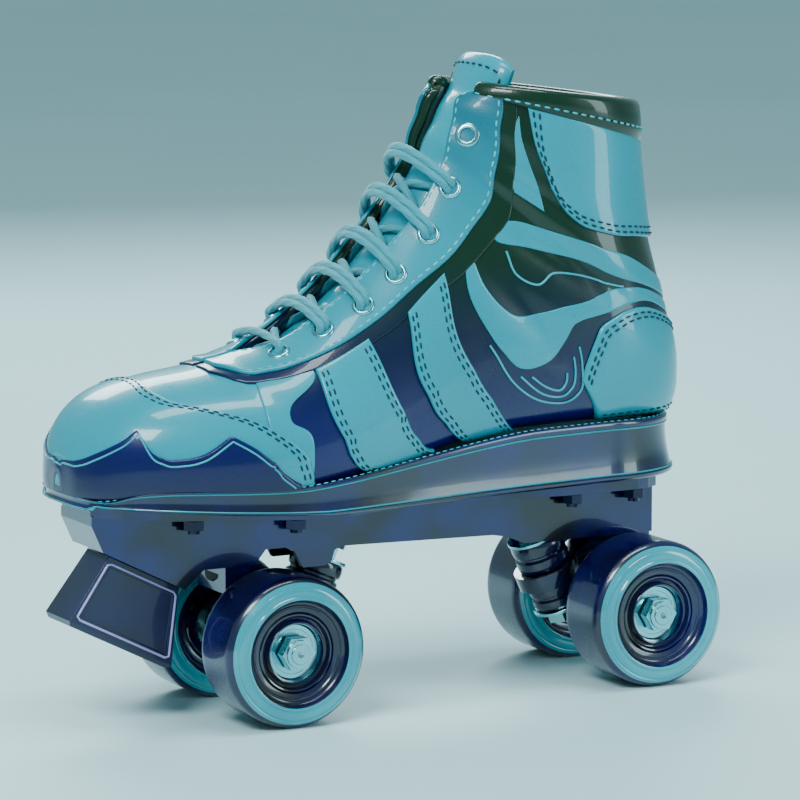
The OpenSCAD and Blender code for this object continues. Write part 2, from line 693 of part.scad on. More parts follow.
beam_y = 16;
hanger_end = wheel_y - bearing_out - washer_h + hair;
module hanger(end) {
    arm_w = 14;
    arm = [[67.8, 51.7], [75, 57.4], [84.7, 61.6], [87, 56.4], [90.8, 47], [90.8, 34], [axle_x, axle_z],
           [77.4, 31], [70.6, 45.6]];
    color(navy)
        at_end(end)
            difference() {
                union() {
                    translate([axle_x, 0, axle_z])
                        rotate([90, 0, 0])
                            rotate_extrude()
                                polygon([[0, -hanger_end], [6, -hanger_end], [6, -beam_y - 0.5],
                                         [7.2, -beam_y], [8, -9], [8, 9], [7.2, beam_y],
                                         [6, beam_y + 0.5], [6, hanger_end], [0, hanger_end]]);
                    on_kingpin(-ring_h / 2) cylinder(r = ring_r, h = ring_h);
                    side_slab(arm, arm_w);
                    on_pivot(-13) cylinder(r = 3.8, h = 13);
                    on_pivot() sphere(r = pivot_ball_r);
                }
                on_kingpin(-ring_h) cylinder(r = kingpin_r + 1.8, h = 2 * ring_h);
                translate([axle_x, 0, axle_z])
                    rotate([90, 0, 0])
                        cylinder(r = axle_r + hair, h = track, center = true);
            }
}
// Puts a child on an end's axle with +Z outwards, on the left (side 1) or the right (side -1).
left = 1;
right = -1;
module on_axle(end, side, y = 0) {
    translate([end == "rear" ? -axle_x : axle_x, 0, axle_z])
        rotate([-90 * side, 0, 0])
            translate([0, 0, y])
                children();
}
module axle(end) {
    half = track / 2 + 0.5;
    color(steel)
        on_axle(end, 1)
            difference() {
                cylinder(r = axle_r, h = 2 * half, center = true);
                for (turn = [0, 180])
                    rotate([turn, 0, 0])
                        translate([0, 0, half - 1])
                            cylinder(r1 = 0, r2 = 1.6, h = 1.1);
            }
}
module on_both_wheels(end, z) {
    for (side = [-1, 1])
        on_axle(end, side, wheel_y + z)
            children();
}
module axle_nuts(end) {
    collar_h = 1.2;
    color(steel)
        on_both_wheels(end, bearing_out + washer_h + gap)
            difference() {
                union() {
                    cylinder(r = hex_13, h = nut_h - collar_h, $fn = 6);
                    cylinder(r = 5.8, h = nut_h);
                }
                translate([0, 0, -1]) cylinder(r = axle_r + hair, h = nut_h + 2);
            }
}
module axle_washers(end) {
    color(steel)
        for (z = [-bearing_out - washer_h + gap, bearing_out])
            on_both_wheels(end, z)
                difference() {
                    cylinder(r = 5.8, h = washer_h);
                    translate([0, 0, -1]) cylinder(r = axle_r + hair, h = 3);
                }
}
module bearing_spacers(end) {
    color(steel)
        on_both_wheels(end, -bearing_in)
            difference() {
                cylinder(r = 5.5, h = 2 * bearing_in);
                translate([0, 0, -1]) cylinder(r = axle_r + hair, h = 6);
            }
}
race_edge = 5.9;
cage_edge = 9.2;
module inner_races(end) {
    color(steel)
        for (z = [-bearing_out + gap, bearing_in + gap])
            on_both_wheels(end, z)
                difference() {
                    cylinder(r = race_edge, h = bearing_w - 2 * gap);
                    translate([0, 0, -1]) cylinder(r = axle_r + hair, h = bearing_w + 2);
                }
}

// ---- Wheels -----------------------------------------------------------------------------------
hub_r = 16.5;
module tyre(end, side) {
    half = wheel_w / 2;
    color(teal)
        on_axle(end, side, wheel_y)
            rotate_extrude()
                polygon(concat(
                    [[hub_r + hair, half - 0.6], [hub_r + 1.5, half]],
                    [for (c = [90:-15:0]) [wheel_r - 5 + 5 * cos(c), half - 5 + 5 * sin(c)]],
                    [for (c = [0:15:90]) [wheel_r - 5 + 5 * cos(c), 5 - half - 5 * sin(c)]],
                    [[hub_r + 1.5, -half], [hub_r + hair, 0.6 - half]]));
}
module hub(end, side) {
    color(navy)
        on_axle(end, side, wheel_y)
            rotate_extrude()
                polygon([[hub_r, 15.2], [15.8, 15.9], [15.2, 15.4], [13.2, bearing_out],
                         [bearing_r + hair, bearing_out], [bearing_r + hair, bearing_in],
                         [9.5, bearing_in], [9.5, -bearing_in],
                         [bearing_r + hair, -bearing_in], [bearing_r + hair, -bearing_out],
                         [13.2, -bearing_out], [15.2, -15.4], [15.8, -15.9], [hub_r, -15.2]]);
}
module bearings(end, side) {
    ball_r = 1.55;
    shield_t = 0.4;
    shield_edge = race_edge + 0.3;
    shield_out = bearing_w - 0.3;
    color(steel)
        for (z = [-bearing_out, bearing_in])
            on_axle(end, side, wheel_y + z) {
                rotate_extrude()
                    polygon([[cage_edge, gap], [bearing_r, gap], [bearing_r, bearing_w - gap],
                             [cage_edge, bearing_w - gap], [cage_edge, shield_out],
                             [shield_edge, shield_out], [shield_edge, shield_out - shield_t],
                             [cage_edge, shield_out - shield_t], [cage_edge, 0.3 + shield_t],
                             [shield_edge, 0.3 + shield_t], [shield_edge, 0.3], [cage_edge, 0.3]]);
                for (i = [0:ball_count - 1])
                    rotate([0, 0, 360 * i / ball_count])
                        translate([(race_edge + cage_edge) / 2, 0, bearing_w / 2])
                            sphere(r = ball_r);
            }
}

vamp();
left_quarter();
right_quarter();
toe_cap();
toe_guard();
side_bands();
heel_counter();
ankle_patch();
left_eyestay();
right_eyestay();
collar_binding();
tongue();
laces();
eyelets();
insole();
outsole();
baseplate();
plate_bolts();
plate_nuts();
toe_stop();
toe_stop_bolt();
toe_stop_washer();
pivot_cup("front");  // front_pivot_cup
kingpin("front");  // front_kingpin
kingpin_nut("front");  // front_kingpin_nut
upper_cushion("front");  // front_upper_cushion
lower_cushion("front");  // front_lower_cushion
cushion_retainers("front");  // front_cushion_retainers
hanger("front");  // front_hanger
axle("front");  // front_axle
axle_nuts("front");  // front_axle_nuts
axle_washers("front");  // front_axle_washers
bearing_spacers("front");  // front_bearing_spacers
inner_races("front");  // front_inner_races
pivot_cup("rear");  // rear_pivot_cup
kingpin("rear");  // rear_kingpin
kingpin_nut("rear");  // rear_kingpin_nut
upper_cushion("rear");  // rear_upper_cushion
lower_cushion("rear");  // rear_lower_cushion
cushion_retainers("rear");  // rear_cushion_retainers
hanger("rear");  // rear_hanger
axle("rear");  // rear_axle
axle_nuts("rear");  // rear_axle_nuts
axle_washers("rear");  // rear_axle_washers
bearing_spacers("rear");  // rear_bearing_spacers
inner_races("rear");  // rear_inner_races
tyre("front", left);  // front_left_tyre
hub("front", left);  // front_left_hub
bearings("front", left);  // front_left_bearings
tyre("front", right);  // front_right_tyre
hub("front", right);  // front_right_hub
bearings("front", right);  // front_right_bearings
tyre("rear", left);  // rear_left_tyre
hub("rear", left);  // rear_left_hub
bearings("rear", left);  // rear_left_bearings
tyre("rear", right);  // rear_right_tyre
hub("rear", right);  // rear_right_hub
bearings("rear", right);  // rear_right_bearings
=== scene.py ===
"""Quad roller skate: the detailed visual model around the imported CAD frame."""

import json
import math

import bmesh
import bpy
import numpy as np
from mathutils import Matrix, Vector


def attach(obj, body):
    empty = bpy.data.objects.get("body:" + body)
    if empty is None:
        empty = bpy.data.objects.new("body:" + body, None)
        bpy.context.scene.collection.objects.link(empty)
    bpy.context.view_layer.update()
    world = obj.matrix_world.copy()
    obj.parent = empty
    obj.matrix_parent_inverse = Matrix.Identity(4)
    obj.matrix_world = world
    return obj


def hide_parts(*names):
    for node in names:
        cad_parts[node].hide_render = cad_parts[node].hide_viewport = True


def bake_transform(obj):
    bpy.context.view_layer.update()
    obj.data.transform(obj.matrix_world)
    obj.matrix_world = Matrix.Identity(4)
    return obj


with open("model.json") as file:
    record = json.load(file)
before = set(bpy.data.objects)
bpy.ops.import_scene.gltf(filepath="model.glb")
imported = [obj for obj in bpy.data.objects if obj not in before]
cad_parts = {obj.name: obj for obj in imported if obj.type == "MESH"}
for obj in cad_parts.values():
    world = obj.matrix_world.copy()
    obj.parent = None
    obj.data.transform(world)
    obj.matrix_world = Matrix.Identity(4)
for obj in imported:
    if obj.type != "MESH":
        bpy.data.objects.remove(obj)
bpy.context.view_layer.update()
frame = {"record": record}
MM = 0.001

# ---- Camera, floor and light ------------
CAMERA_AZIMUTH = math.radians(151.85)
CAMERA_ELEVATION = math.radians(8.66)
CAMERA_DISTANCE = 1.9
CAMERA_TARGET = Vector((0.0131, 0.0, 0.1225))


def make_camera():
    data = bpy.data.cameras.new("camera")
    data.lens = 206
    data.sensor_width = 36
    camera = bpy.data.objects.new("camera", data)
    back = Vector((
        math.sin(CAMERA_AZIMUTH) * math.cos(CAMERA_ELEVATION),
        -math.cos(CAMERA_AZIMUTH) * math.cos(CAMERA_ELEVATION),
        math.sin(CAMERA_ELEVATION),
    ))
    camera.location = CAMERA_TARGET + back * CAMERA_DISTANCE
    camera.rotation_euler = back.to_track_quat("Z", "Y").to_euler()
    bpy.context.scene.collection.objects.link(camera)
    bpy.context.scene.camera = camera


def area_light(name, place, size, power, colour):
    data = bpy.data.lights.new(name, "AREA")
    data.shape = "RECTANGLE"
    data.size = size[0]
    data.size_y = size[1]
    data.energy = power
    data.color = colour
    light = bpy.data.objects.new(name, data)
    light.location = place
    aim = Vector(place) - Vector((0, 0, 0.12))
    light.rotation_euler = aim.to_track_quat("Z", "Y").to_euler()
    bpy.context.scene.collection.objects.link(light)


make_camera()
area_light("key", (1.0, 0.7, 1.3), (0.7, 0.5), 24, (0.85, 0.98, 1))
area_light("fill", (-1.1, 1.1, 0.5), (0.35, 1.0), 8, (0.7, 0.95, 1))
area_light("back", (-0.4, -1.3, 0.9), (1.2, 0.4), 18, (0.8, 0.97, 1))
area_light("top", (0.0, 0.15, 1.5), (0.9, 0.3), 10, (0.85, 0.98, 1))
world = bpy.data.worlds.new("studio")
world.use_nodes = True
sky = world.node_tree.nodes["Background"]
sky.inputs["Color"].default_value = (0.5, 0.86, 0.93, 1)
sky.inputs["Strength"].default_value = 0.5
bpy.context.scene.world = world


# ---- Materials ------------
class Paint:
    """A node material: a principled shader with helpers that add nodes to it."""

    def __init__(self, name, rough=0.4, metallic=0.0, coat=0.0, sheen=0.0, specular=0.5):
        self.material = bpy.data.materials.new(name)
        self.material.use_nodes = True
        self.tree = self.material.node_tree
        self.shader = self.tree.nodes["Principled BSDF"]
        self.feed(self.shader, {
            "Roughness": rough, "Metallic": metallic, "Coat Weight": coat, "Coat Roughness": 0.05,
            "Sheen Weight": sheen, "Specular IOR Level": specular,
        })
        self.where = self.add("ShaderNodeTexCoord").outputs["Object"]
        self.bump = None

    def feed(self, node, inputs):
        """Links each input to a socket, or sets its value. A tuple is a colour."""
        for key, value in inputs.items():
            socket = node.inputs[key]
            if isinstance(value, bpy.types.NodeSocket):
                self.tree.links.new(value, socket)
            elif isinstance(value, tuple):
                socket.default_value = (*value, 1)
            else:
                socket.default_value = value

    def add(self, kind, inputs=None, **settings):
        node = self.tree.nodes.new(kind)
        for key, value in settings.items():
            setattr(node, key, value)
        self.feed(node, inputs or {})
        return node

    def noise(self, scale, detail):
        inputs = {"Scale": scale, "Detail": detail, "Vector": self.where}
        return self.add("ShaderNodeTexNoise", inputs).outputs["Fac"]

    def cells(self, scale):
        return self.add("ShaderNodeTexVoronoi", {"Scale": scale, "Vector": self.where}).outputs["Distance"]

    def waves(self, scale, where):
        return self.add("ShaderNodeTexWave", {"Scale": scale, "Vector": where}).outputs["Fac"]

    def ramp(self, value, stops):
        node = self.add("ShaderNodeValToRGB", {"Fac": value})
        ramp = node.color_ramp
        while len(ramp.elements) < len(stops):
            ramp.elements.new(0.5)
        for element, (at, colour) in zip(ramp.elements, stops):
            element.position = at
            element.color = (*colour, 1)
        return node.outputs["Color"]

    def height(self, low, high):
        """0 to 1 between two heights over the floor, in metres."""
        split = self.add("ShaderNodeSeparateXYZ", {0: self.where})
        inputs = {"From Min": low, "From Max": high, "Value": split.outputs["Z"]}
        return self.add("ShaderNodeMapRange", inputs).outputs["Result"]

    def mix(self, a, b, factor, blend="MIX"):
        inputs = {"Factor": factor, 6: a, 7: b}
        return self.add("ShaderNodeMix", inputs, data_type="RGBA", blend_type=blend).outputs[2]

    def colour(self, value):
        self.feed(self.shader, {"Base Color": value})

    def roughness(self, value, low, high):
        node = self.add("ShaderNodeMapRange", {"To Min": low, "To Max": high, "Value": value})
        self.feed(self.shader, {"Roughness": node.outputs["Result"]})

    def dent(self, value, strength, distance):
        """Adds a layer of bump, in metres."""
        node = self.add("ShaderNodeBump", {"Strength": strength, "Distance": distance, "Height": value})
        if self.bump:
            self.feed(node, {"Normal": self.bump})
        self.bump = node.outputs["Normal"]
        self.feed(self.shader, {"Normal": self.bump})


TEAL = (0, 0.285, 0.37)
TEAL_LIGHT = (0.02, 0.42, 0.5)
# A darker teal used as painted shade: on the eyestays' upper ends and in the grooves between the lace's ribs.
TEAL_PAINTED_SHADE = (0.001, 0.13, 0.19)
GREEN_DARK = (0, 0.022, 0.007)
NAVY = (0, 0, 0.1)
NAVY_BLACK = (0.001, 0, 0.008)


def leather(name, colours):
    """Patent leather. colours are stops from the floor up to the collar."""
    paint = Paint(name, rough=0.3, coat=0.6, specular=0.3)
    if len(colours) == 1:
        lighter = tuple(c * 1.18 for c in colours[0])
        tone = paint.ramp(paint.noise(14, 4), [(0.3, colours[0]), (0.75, lighter)])
    else:
        tone = paint.ramp(paint.height(0.08, 0.26), colours)
    pores = paint.cells(1500)
    shade = paint.ramp(pores, [(0.0, (0.72, 0.72, 0.72)), (0.45, (1, 1, 1))])
    paint.colour(paint.mix(tone, shade, 0.35, "MULTIPLY"))
    paint.roughness(paint.noise(90, 5), 0.2, 0.38)
    paint.dent(paint.noise(34, 2), 0.25, 0.0012)
    paint.dent(pores, 0.12, 0.00025)
    return paint.material


DARK_STOPS = [(0.0, NAVY_BLACK), (0.16, NAVY), (0.36, (0.0, 0.003, 0.04)), (0.58, GREEN_DARK)]
M = {}
for name, colours in (
    ("teal_leather", [TEAL]),
    ("green_leather", DARK_STOPS),
    # Navy leather that paints the dark reflection along the toe's lower part.
    ("navy_leather", [(0.0, NAVY_BLACK), (0.25, NAVY)]),
    # The eyestays turn darker teal towards the collar: painted shade.
    ("stay_leather", [(0.62, TEAL), (0.95, TEAL_PAINTED_SHADE)]),
):
    M[name] = leather(name, colours)


def woven(name, low, high, scale):
    paint = Paint(name, rough=0.75, sheen=0.4, specular=0.25)
    threads = paint.waves(scale, paint.where)
    turned = paint.add("ShaderNodeMapping", {"Rotation": [0, 0, math.pi / 2], "Vector": paint.where})
    across = paint.waves(scale, turned.outputs["Vector"])
    cloth = paint.mix(threads, across, 0.5)
    paint.colour(paint.mix(paint.ramp(cloth, [(0.2, low), (0.8, high)]), low, paint.noise(60, 4)))
    paint.dent(cloth, 0.5, 0.0004)
    return paint.material


def rubber(name, low, high, coat=0.3, rough=(0.28, 0.5)):
    paint = Paint(name, rough=0.4, coat=coat)
    paint.colour(paint.ramp(paint.noise(30, 5), [(0.35, low), (0.75, high)]))
    paint.roughness(paint.noise(160, 6), *rough)
    paint.dent(paint.noise(2200, 4), 0.18, 0.0001)
    return paint.material


def metal(name, low, high, rough, coat=0.0, metallic=1.0):
    paint = Paint(name, rough=rough[0], metallic=metallic, coat=coat)
    paint.colour(paint.ramp(paint.noise(45, 6), [(0.35, low), (0.7, high)]))
    paint.roughness(paint.noise(300, 6), *rough)
    paint.dent(paint.noise(900, 5), 0.08, 0.0001)
    return paint.material


def cotton(name):
    """Lace cotton: fine ribs by the length along the cord, with painted shade darkening the grooves between
    them.
    """
    paint = Paint(name, rough=0.55, sheen=0.35)
    uv = paint.add("ShaderNodeUVMap").outputs["UV"]
    ribs = paint.waves(1.0, uv)
    # The grooves between the ribs are darker: painted shade.
    paint.colour(paint.mix(TEAL_PAINTED_SHADE, TEAL_LIGHT, paint.ramp(ribs, [(0.1, (0, 0, 0)), (0.5, (1, 1, 1))])))
    paint.dent(ribs, 0.3, 0.0003)
    paint.dent(paint.noise(2500, 2), 0.3, 0.0001)
    return paint.material


for name, kind, *look in (
    ("sole_rubber", rubber, NAVY_BLACK, (0, 0, 0.12), 0.8, (0.12, 0.3)),
    ("foxing", rubber, TEAL, TEAL_LIGHT, 0.6),
    ("stop_rubber", rubber, (0.002, 0.001, 0.014), (0.004, 0.003, 0.06), 0.5),
    ("wheel_face", rubber, TEAL, TEAL_LIGHT, 1.0, (0.1, 0.24)),
    ("wheel_tread", rubber, NAVY_BLACK, (0, 0, 0.09), 0.8, (0.18, 0.4)),
    ("hub_plastic", rubber, NAVY_BLACK, NAVY, 1.0, (0.1, 0.2)),
    ("cushion_rubber", rubber, NAVY_BLACK, NAVY, 0.8, (0.15, 0.35)),
    ("black_plastic", rubber, (0.004, 0.004, 0.008), (0.012, 0.012, 0.03), 0.1),
    ("plate_metal", metal, NAVY_BLACK, (0, 0, 0.13), (0.12, 0.28), 1.0, 0.3),
    ("truck_metal", metal, NAVY_BLACK, (0.002, 0.004, 0.07), (0.12, 0.28), 1.0, 0.4),
    ("bright_steel", metal, (0.2, 0.52, 0.58), (0.4, 0.72, 0.78), (0.12, 0.3)),
    ("dark_steel", metal, (0.005, 0.005, 0.03), (0.01, 0.015, 0.07), (0.2, 0.4), 0.4, 0.7),
    ("thread", rubber, (0.0, 0.012, 0.03), (0.0, 0.03, 0.05), 0.0, (0.6, 0.8)),
    ("pale_thread", rubber, TEAL_LIGHT, (0.15, 0.65, 0.7), 0.0, (0.5, 0.7)),
    ("frame_paint", rubber, (0.25, 0.2, 0.5), (0.5, 0.42, 0.8), 0.4, (0.3, 0.45)),
    ("lace_cotton", cotton),
    ("insole_fabric", woven, (0.004, 0.1, 0.12), (0.02, 0.22, 0.26), 900),
    ("lining_fabric", woven, (0.0, 0.035, 0.02), (0.002, 0.09, 0.06), 1100),
):
    M[name] = kind(name, *look)


# ---- The last: the same surface that the CAD model uses, in millimetres ------------
# Rows: rear or lower point [x, z], front or upper point [x, z], half width, share of the way up at
# which a ring is widest, and how square its lower and its upper half are.
STATIONS = np.array([
    [166, 97, 166, 102, 1, 0.35, 3.0, 2.2],
    [164.5, 96, 164, 112, 14, 0.34, 3.4, 2.3],
    [159, 95, 158, 123.5, 26, 0.33, 4.0, 2.4],
    [147, 94, 146, 133, 36.5, 0.32, 4.3, 2.4],
    [129, 93, 127, 139.5, 43, 0.32, 4.5, 2.3],
    [106, 92.5, 104, 143.5, 46.5, 0.32, 4.5, 2.2],
    [82, 92.5, 82, 149, 47, 0.32, 4.5, 2.1],
    [55, 95, 63, 160, 45.5, 0.33, 4.5, 2.0],
    [23, 100.5, 44, 176, 42.5, 0.34, 4.3, 2.0],
    [-9, 107, 30, 193, 40.5, 0.36, 4.0, 2.0],
    [-43, 108.5, 19, 208, 39.5, 0.38, 3.6, 2.0],
    [-77, 108.5, 12, 220, 39.5, 0.4, 3.0, 2.0],
    [-106, 110.5, 7, 229, 39.5, 0.43, 2.5, 2.0],
    [-112.5, 130, 4, 235.5, 39, 0.46, 2.3, 2.1],
    [-106.5, 158, 0, 241.5, 38.5, 0.48, 2.3, 2.1],
    [-98.5, 187, -3, 246.5, 38, 0.5, 2.3, 2.2],
    [-94, 214, -6, 250, 38, 0.5, 2.3, 2.2],
    [-91, 242, -9, 253, 38.5, 0.5, 2.3, 2.2],
    [-87, 256, -14, 267, 39, 0.5, 2.3, 2.2],
])


def ease(t):
    c = np.clip(t, 0, 1)
    return c * c * (3 - 2 * c)


def spline(table, t):
    """Catmull-Rom curve through the rows of a table, at row number t."""
    table = np.asarray(table, float)
    rows = np.vstack([2 * table[0] - table[1], table, 2 * table[-1] - table[-2]])
    t = np.clip(np.asarray(t, float), 0, len(table) - 1)
    i = np.minimum(np.floor(t).astype(int), len(table) - 2)
    f = (t - i)[..., None]
    p0, p1, p2, p3 = rows[i], rows[i + 1], rows[i + 2], rows[i + 3]
    return 0.5 * (2 * p1 + f * (p2 - p0) + f**2 * (2 * p0 - 5 * p1 + 4 * p2 - p3)
                  + f**3 * (3 * p1 - p0 - 3 * p2 + p3))


def smooth(table, x):
    """A smooth function of x through the pairs of a table."""
    xs, ys = np.array(table, float).T
    slope = np.gradient(ys, xs)
    x = np.asarray(x, float)
    i = np.clip(np.searchsorted(xs, x, side="right") - 1, 0, len(xs) - 2)
    h = xs[i + 1] - xs[i]
    t = np.clip((x - xs[i]) / h, 0, 1)
    return ((2 * t**3 - 3 * t**2 + 1) * ys[i] + (t**3 - 2 * t**2 + t) * h * slope[i]
            + (3 * t**2 - 2 * t**3) * ys[i + 1] + (t**3 - t**2) * h * slope[i + 1])


def mix(a, b, t):
    return a + (b - a) * t


BEND = 6
BEND_FROM_X = 86
BEND_LENGTH = 80


def centre_y(x):
    """The centre line bends towards the big toe."""
    return -BEND * ease((x - BEND_FROM_X) / BEND_LENGTH)


def skin(u, a, off=0.0):
    """Points at ring u and share round a: 0 bottom or back, 1 top or front, to 2 on the right."""
    u, a, off = np.broadcast_arrays(np.asarray(u, float), np.asarray(a, float), np.asarray(off, float))
    r = spline(STATIONS, u)
    right = (a < 0) | (a > 1)
    phi = np.where(a > 1, 2 - a, np.abs(a))
    low = r[..., 0:2]
    high = r[..., 2:4]
    way = (high - low) / np.linalg.norm(high - low, axis=-1, keepdims=True)
    start = low - off[..., None] * way
    end = high + off[..., None] * way
    power = np.where(phi <= 0.5, 2 / r[..., 6], 2 / r[..., 7])
    y = np.maximum(r[..., 4] + off, 0.3) * np.abs(np.sin(math.pi * phi)) ** power
    c = np.abs(np.cos(math.pi * phi)) ** power
    wide = r[..., 5]
    s = np.where(phi <= 0.5, wide * (1 - c), wide + (1 - wide) * c)[..., None]
    p = start + (end - start) * s
    return np.stack([p[..., 0], np.where(right, -y, y) + centre_y(p[..., 0]), p[..., 1]], axis=-1)


def unit(v):
    return v / np.maximum(np.linalg.norm(v, axis=-1, keepdims=True), 1e-9)


def run_of(path):
    """The distance from a path's start to each of its points."""
    return np.concatenate([[0], np.cumsum(np.linalg.norm(np.diff(path, axis=0), axis=1))])


def point_at(at, run, path):
    return np.stack([np.interp(at, run, path[:, k]) for k in range(3)], axis=-1)


def skin_normal(u, a):
    along = skin(u + 0.05, a) - skin(u - 0.05, a)
    around = skin(u, a - 0.01) - skin(u, a + 0.01)
    return unit(np.cross(along, around))


# Soft folds of the ankle and the toe break, as lines on the surface with a depth and a width in
# millimetres. Both sides have them. UNIT is the millimetres of one ring and of one whole side.
UNIT = np.array([18.0, 120.0])
FOLDS = [
    ((12.3, 0.72), (12.9, 0.47), -1.5, 5.0),
    ((11.3, 0.72), (12.4, 0.52), -1.2, 4.0),
    ((10.4, 0.68), (10.9, 0.42), -1.3, 6.0),
    ((13.3, 0.72), (13.6, 0.6), -0.9, 3.5),
    ((12.8, 0.6), (14.3, 0.3), 0.9, 7.0),
    ((5.35, 0.98), (5.5, 0.8), -0.5, 3.0),
    ((5.0, 0.8), (6.0, 0.66), -0.6, 4.0),
]


def relief(u, a):
    """How far the folds push the leather out at a point."""
    phi = np.where(a > 1, 2 - a, np.abs(a))
    p = np.stack([u, phi], axis=-1) * UNIT
    total = np.zeros(np.shape(p)[:-1])
    for start, end, depth, width in FOLDS:
        s = np.array(start) * UNIT
        e = np.array(end) * UNIT
        t = np.clip(((p - s) @ (e - s)) / ((e - s) @ (e - s)), 0, 1)
        d = np.linalg.norm(p - (s + t[..., None] * (e - s)), axis=-1)
        fade = 0.35 + 0.65 * np.sin(math.pi * np.clip(t, 0.08, 0.92))
        total = total + depth * np.exp(-((d / width) ** 2)) * fade
    return total


# ---- Mesh helpers ------------
def add_mesh(name, points, faces, material, body="skate", uv=None, sharp=40, materials=None):
    """An object from points in millimetres. materials gives an index per face for more than one.
    A piece without a body is not attached to one."""
    mesh = bpy.data.meshes.new(name)
    mesh.from_pydata((np.asarray(points) * MM).tolist(), [], faces)
    stack = material if isinstance(material, list) else [material]
    for each in stack:
        mesh.materials.append(M[each])
    if uv is not None:
        layer = mesh.uv_layers.new(name="UVMap")
        loops = np.empty(len(mesh.loops), int)
        mesh.loops.foreach_get("vertex_index", loops)
        layer.data.foreach_set("uv", np.asarray(uv)[loops].ravel())
    if materials is not None:
        mesh.polygons.foreach_set("material_index", materials)
    work = bmesh.new()
    work.from_mesh(mesh)
    bmesh.ops.recalc_face_normals(work, faces=work.faces)
    work.to_mesh(mesh)
    work.free()
    mesh.shade_smooth()
    mesh.set_sharp_from_angle(angle=math.radians(sharp))
    piece = bpy.data.objects.new(name, mesh)
    bpy.context.scene.collection.objects.link(piece)
    if body:
        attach(piece, body)
    return piece


def grid_faces(n, m, first=0, wrap=False):
    """Quads of an n by m grid of points, closed round along m if wrap is set."""
    faces = []
    for row in range(first, first + (n - 1) * m, m):
        for j in range(m if wrap else m - 1):
            k = (j + 1) % m
            faces.append((row + j, row + k, row + m + k, row + m + j))
    return faces


def closing_faces(n, m):
    """Quads from the last ring of m points back to the first."""
    last = (n - 1) * m
    return [(last + j, last + (j + 1) % m, (j + 1) % m, j) for j in range(m)]


def end_faces(n, m):
    """The two end faces of a tube of n rings."""
    return [tuple(range(m)), tuple((n - 1) * m + j for j in range(m - 1, -1, -1))]


def sheet_faces(n, m, first):
    """Faces of a closed sheet between an outer and an inner grid of the same size."""
    k = n * m
    outer = grid_faces(n, m, first)
    inner = [tuple(reversed([v + k for v in f])) for f in outer]
    rim = [i * m for i in range(n)] + [(n - 1) * m + j for j in range(1, m)]
    rim += [i * m + m - 1 for i in range(n - 2, -1, -1)] + list(range(m - 2, 0, -1))
    rim = [first + v for v in rim]
    wall = [(v, w, w + k, v + k) for v, w in zip(rim, rim[1:] + rim[:1])]
    return outer + inner + wall


def edge_rows(length, step):
    """Shares of a length in millimetres that lie close together near both ends."""
    lip = [d for d in (0, 0.12, 0.3, 0.6, 1.1) if d < length / 3]
    inner = length - 2 * lip[-1]
    middle = np.linspace(lip[-1], length - lip[-1], max(2, round(inner / step)) + 1)
    return np.concatenate([lip[:-1], middle, length - np.array(lip[-2::-1])]) / length


def distances(grid):
    """The distance of each point of a grid to the nearest of the grid's four sides."""
    away = []
    for axis in (0, 1):
        steps = np.linalg.norm(np.diff(grid, axis=axis), axis=-1)
        run = np.cumsum(steps, axis=axis)
        zero = np.zeros_like(np.take(run, [0], axis=axis))
        run = np.concatenate([zero, run], axis=axis)
        total = np.take(run, [-1], axis=axis)
        away += [run, total - run]
    return away


SIDES = ("s0", "s1", "t0", "t1")


def panel_grid(place, size, lo, hi, step, puff, round_r, flat_sides, mirror, inward):
    s, t = np.meshgrid(edge_rows(size[0], step), edge_rows(size[1], step), indexing="ij")
    u, a = place(s, t)
    if mirror:
        a = 2 - a
    away = distances(skin(u, a, hi))
    near = np.min([d for side, d in zip(SIDES, away) if side not in flat_sides], axis=0)
    lip = np.sqrt(1 - (1 - np.clip(near / round_r, 0, 1)) ** 2)
    swell = puff * (1 - np.exp(-near / 7))
    fold = relief(u, a)
    if inward:
        return skin(u, a, hi + fold), skin(u, a, hi - (hi - lo) * (0.3 + 0.7 * lip) - swell + fold)
    return skin(u, a, lo + (hi - lo) * (0.3 + 0.7 * lip) + swell + fold), skin(u, a, lo + fold)


def panel(name, places, size, lo, hi, material, step=2.2, puff=0.0, round_r=0.9,
          flat_sides=(), mirrors=(False,), inward=False):
    """One piece of one or more sewn panels, each a rounded sheet on the last's surface. size is the
    panel's length and width, lo and hi its two faces' offsets from the last."""
    points, faces = [], []
    for place in places:
        for mirror in mirrors:
            outer, inner = panel_grid(place, size, lo, hi, step, puff, round_r, flat_sides, mirror, inward)
            n, m = outer.shape[:2]
            first = sum(len(p) for p in points)
            faces += sheet_faces(n, m, first)
            points += [outer.reshape(-1, 3), inner.reshape(-1, 3)]
    return add_mesh(name, np.concatenate(points), faces, material)


BOTH = (False, True)
LEFT_RIGHT = (("left", False), ("right", True))


def edge_line(place, side, inset, trim, n=240):
    """A line on the surface, inset in millimetres from one side of a panel."""
    run = np.linspace(trim[0], trim[1], n)
    cross = np.linspace(0, 1, 25)
    along_s = side[0] == "t"
    s, t = (np.meshgrid(run, cross, indexing="ij") if along_s else np.meshgrid(cross, run, indexing="ij"))
    u, a = place(s, t)
    if not along_s:
        u, a = u.T, a.T
    length = np.cumsum(np.linalg.norm(np.diff(skin(u, a), axis=1), axis=-1), axis=1)
    length = np.concatenate([np.zeros((n, 1)), length], axis=1)
    target = length[:, -1] - inset if side[1] == "1" else np.full(n, inset, float)
    share = np.array([np.interp(want, row, cross) for want, row in zip(target, length)])
    return place(run, share) if along_s else place(share, run)


def seam(place, sides, insets, trim):
    return [edge_line(place, side, inset, trim) for side in sides for inset in insets]


def dash(points, faces, centre, along, side, up, rings, half):
    """Adds a thread dash: six-sided rings along it, each with its place and its share of the half
    width and half height."""
    first = len(points)
    for shift, size in rings:
        for angle in np.arange(6) * math.pi / 3:
            spoke = half[0] * math.cos(angle) * side + half[1] * math.sin(angle) * up
            points.append(centre + along * shift + size * spoke)
    faces += grid_faces(len(rings), 6, first, wrap=True)
    last = first + 6 * (len(rings) - 1)
    faces.append(tuple(first + k for k in range(5, -1, -1)))
    faces.append(tuple(last + k for k in range(6)))


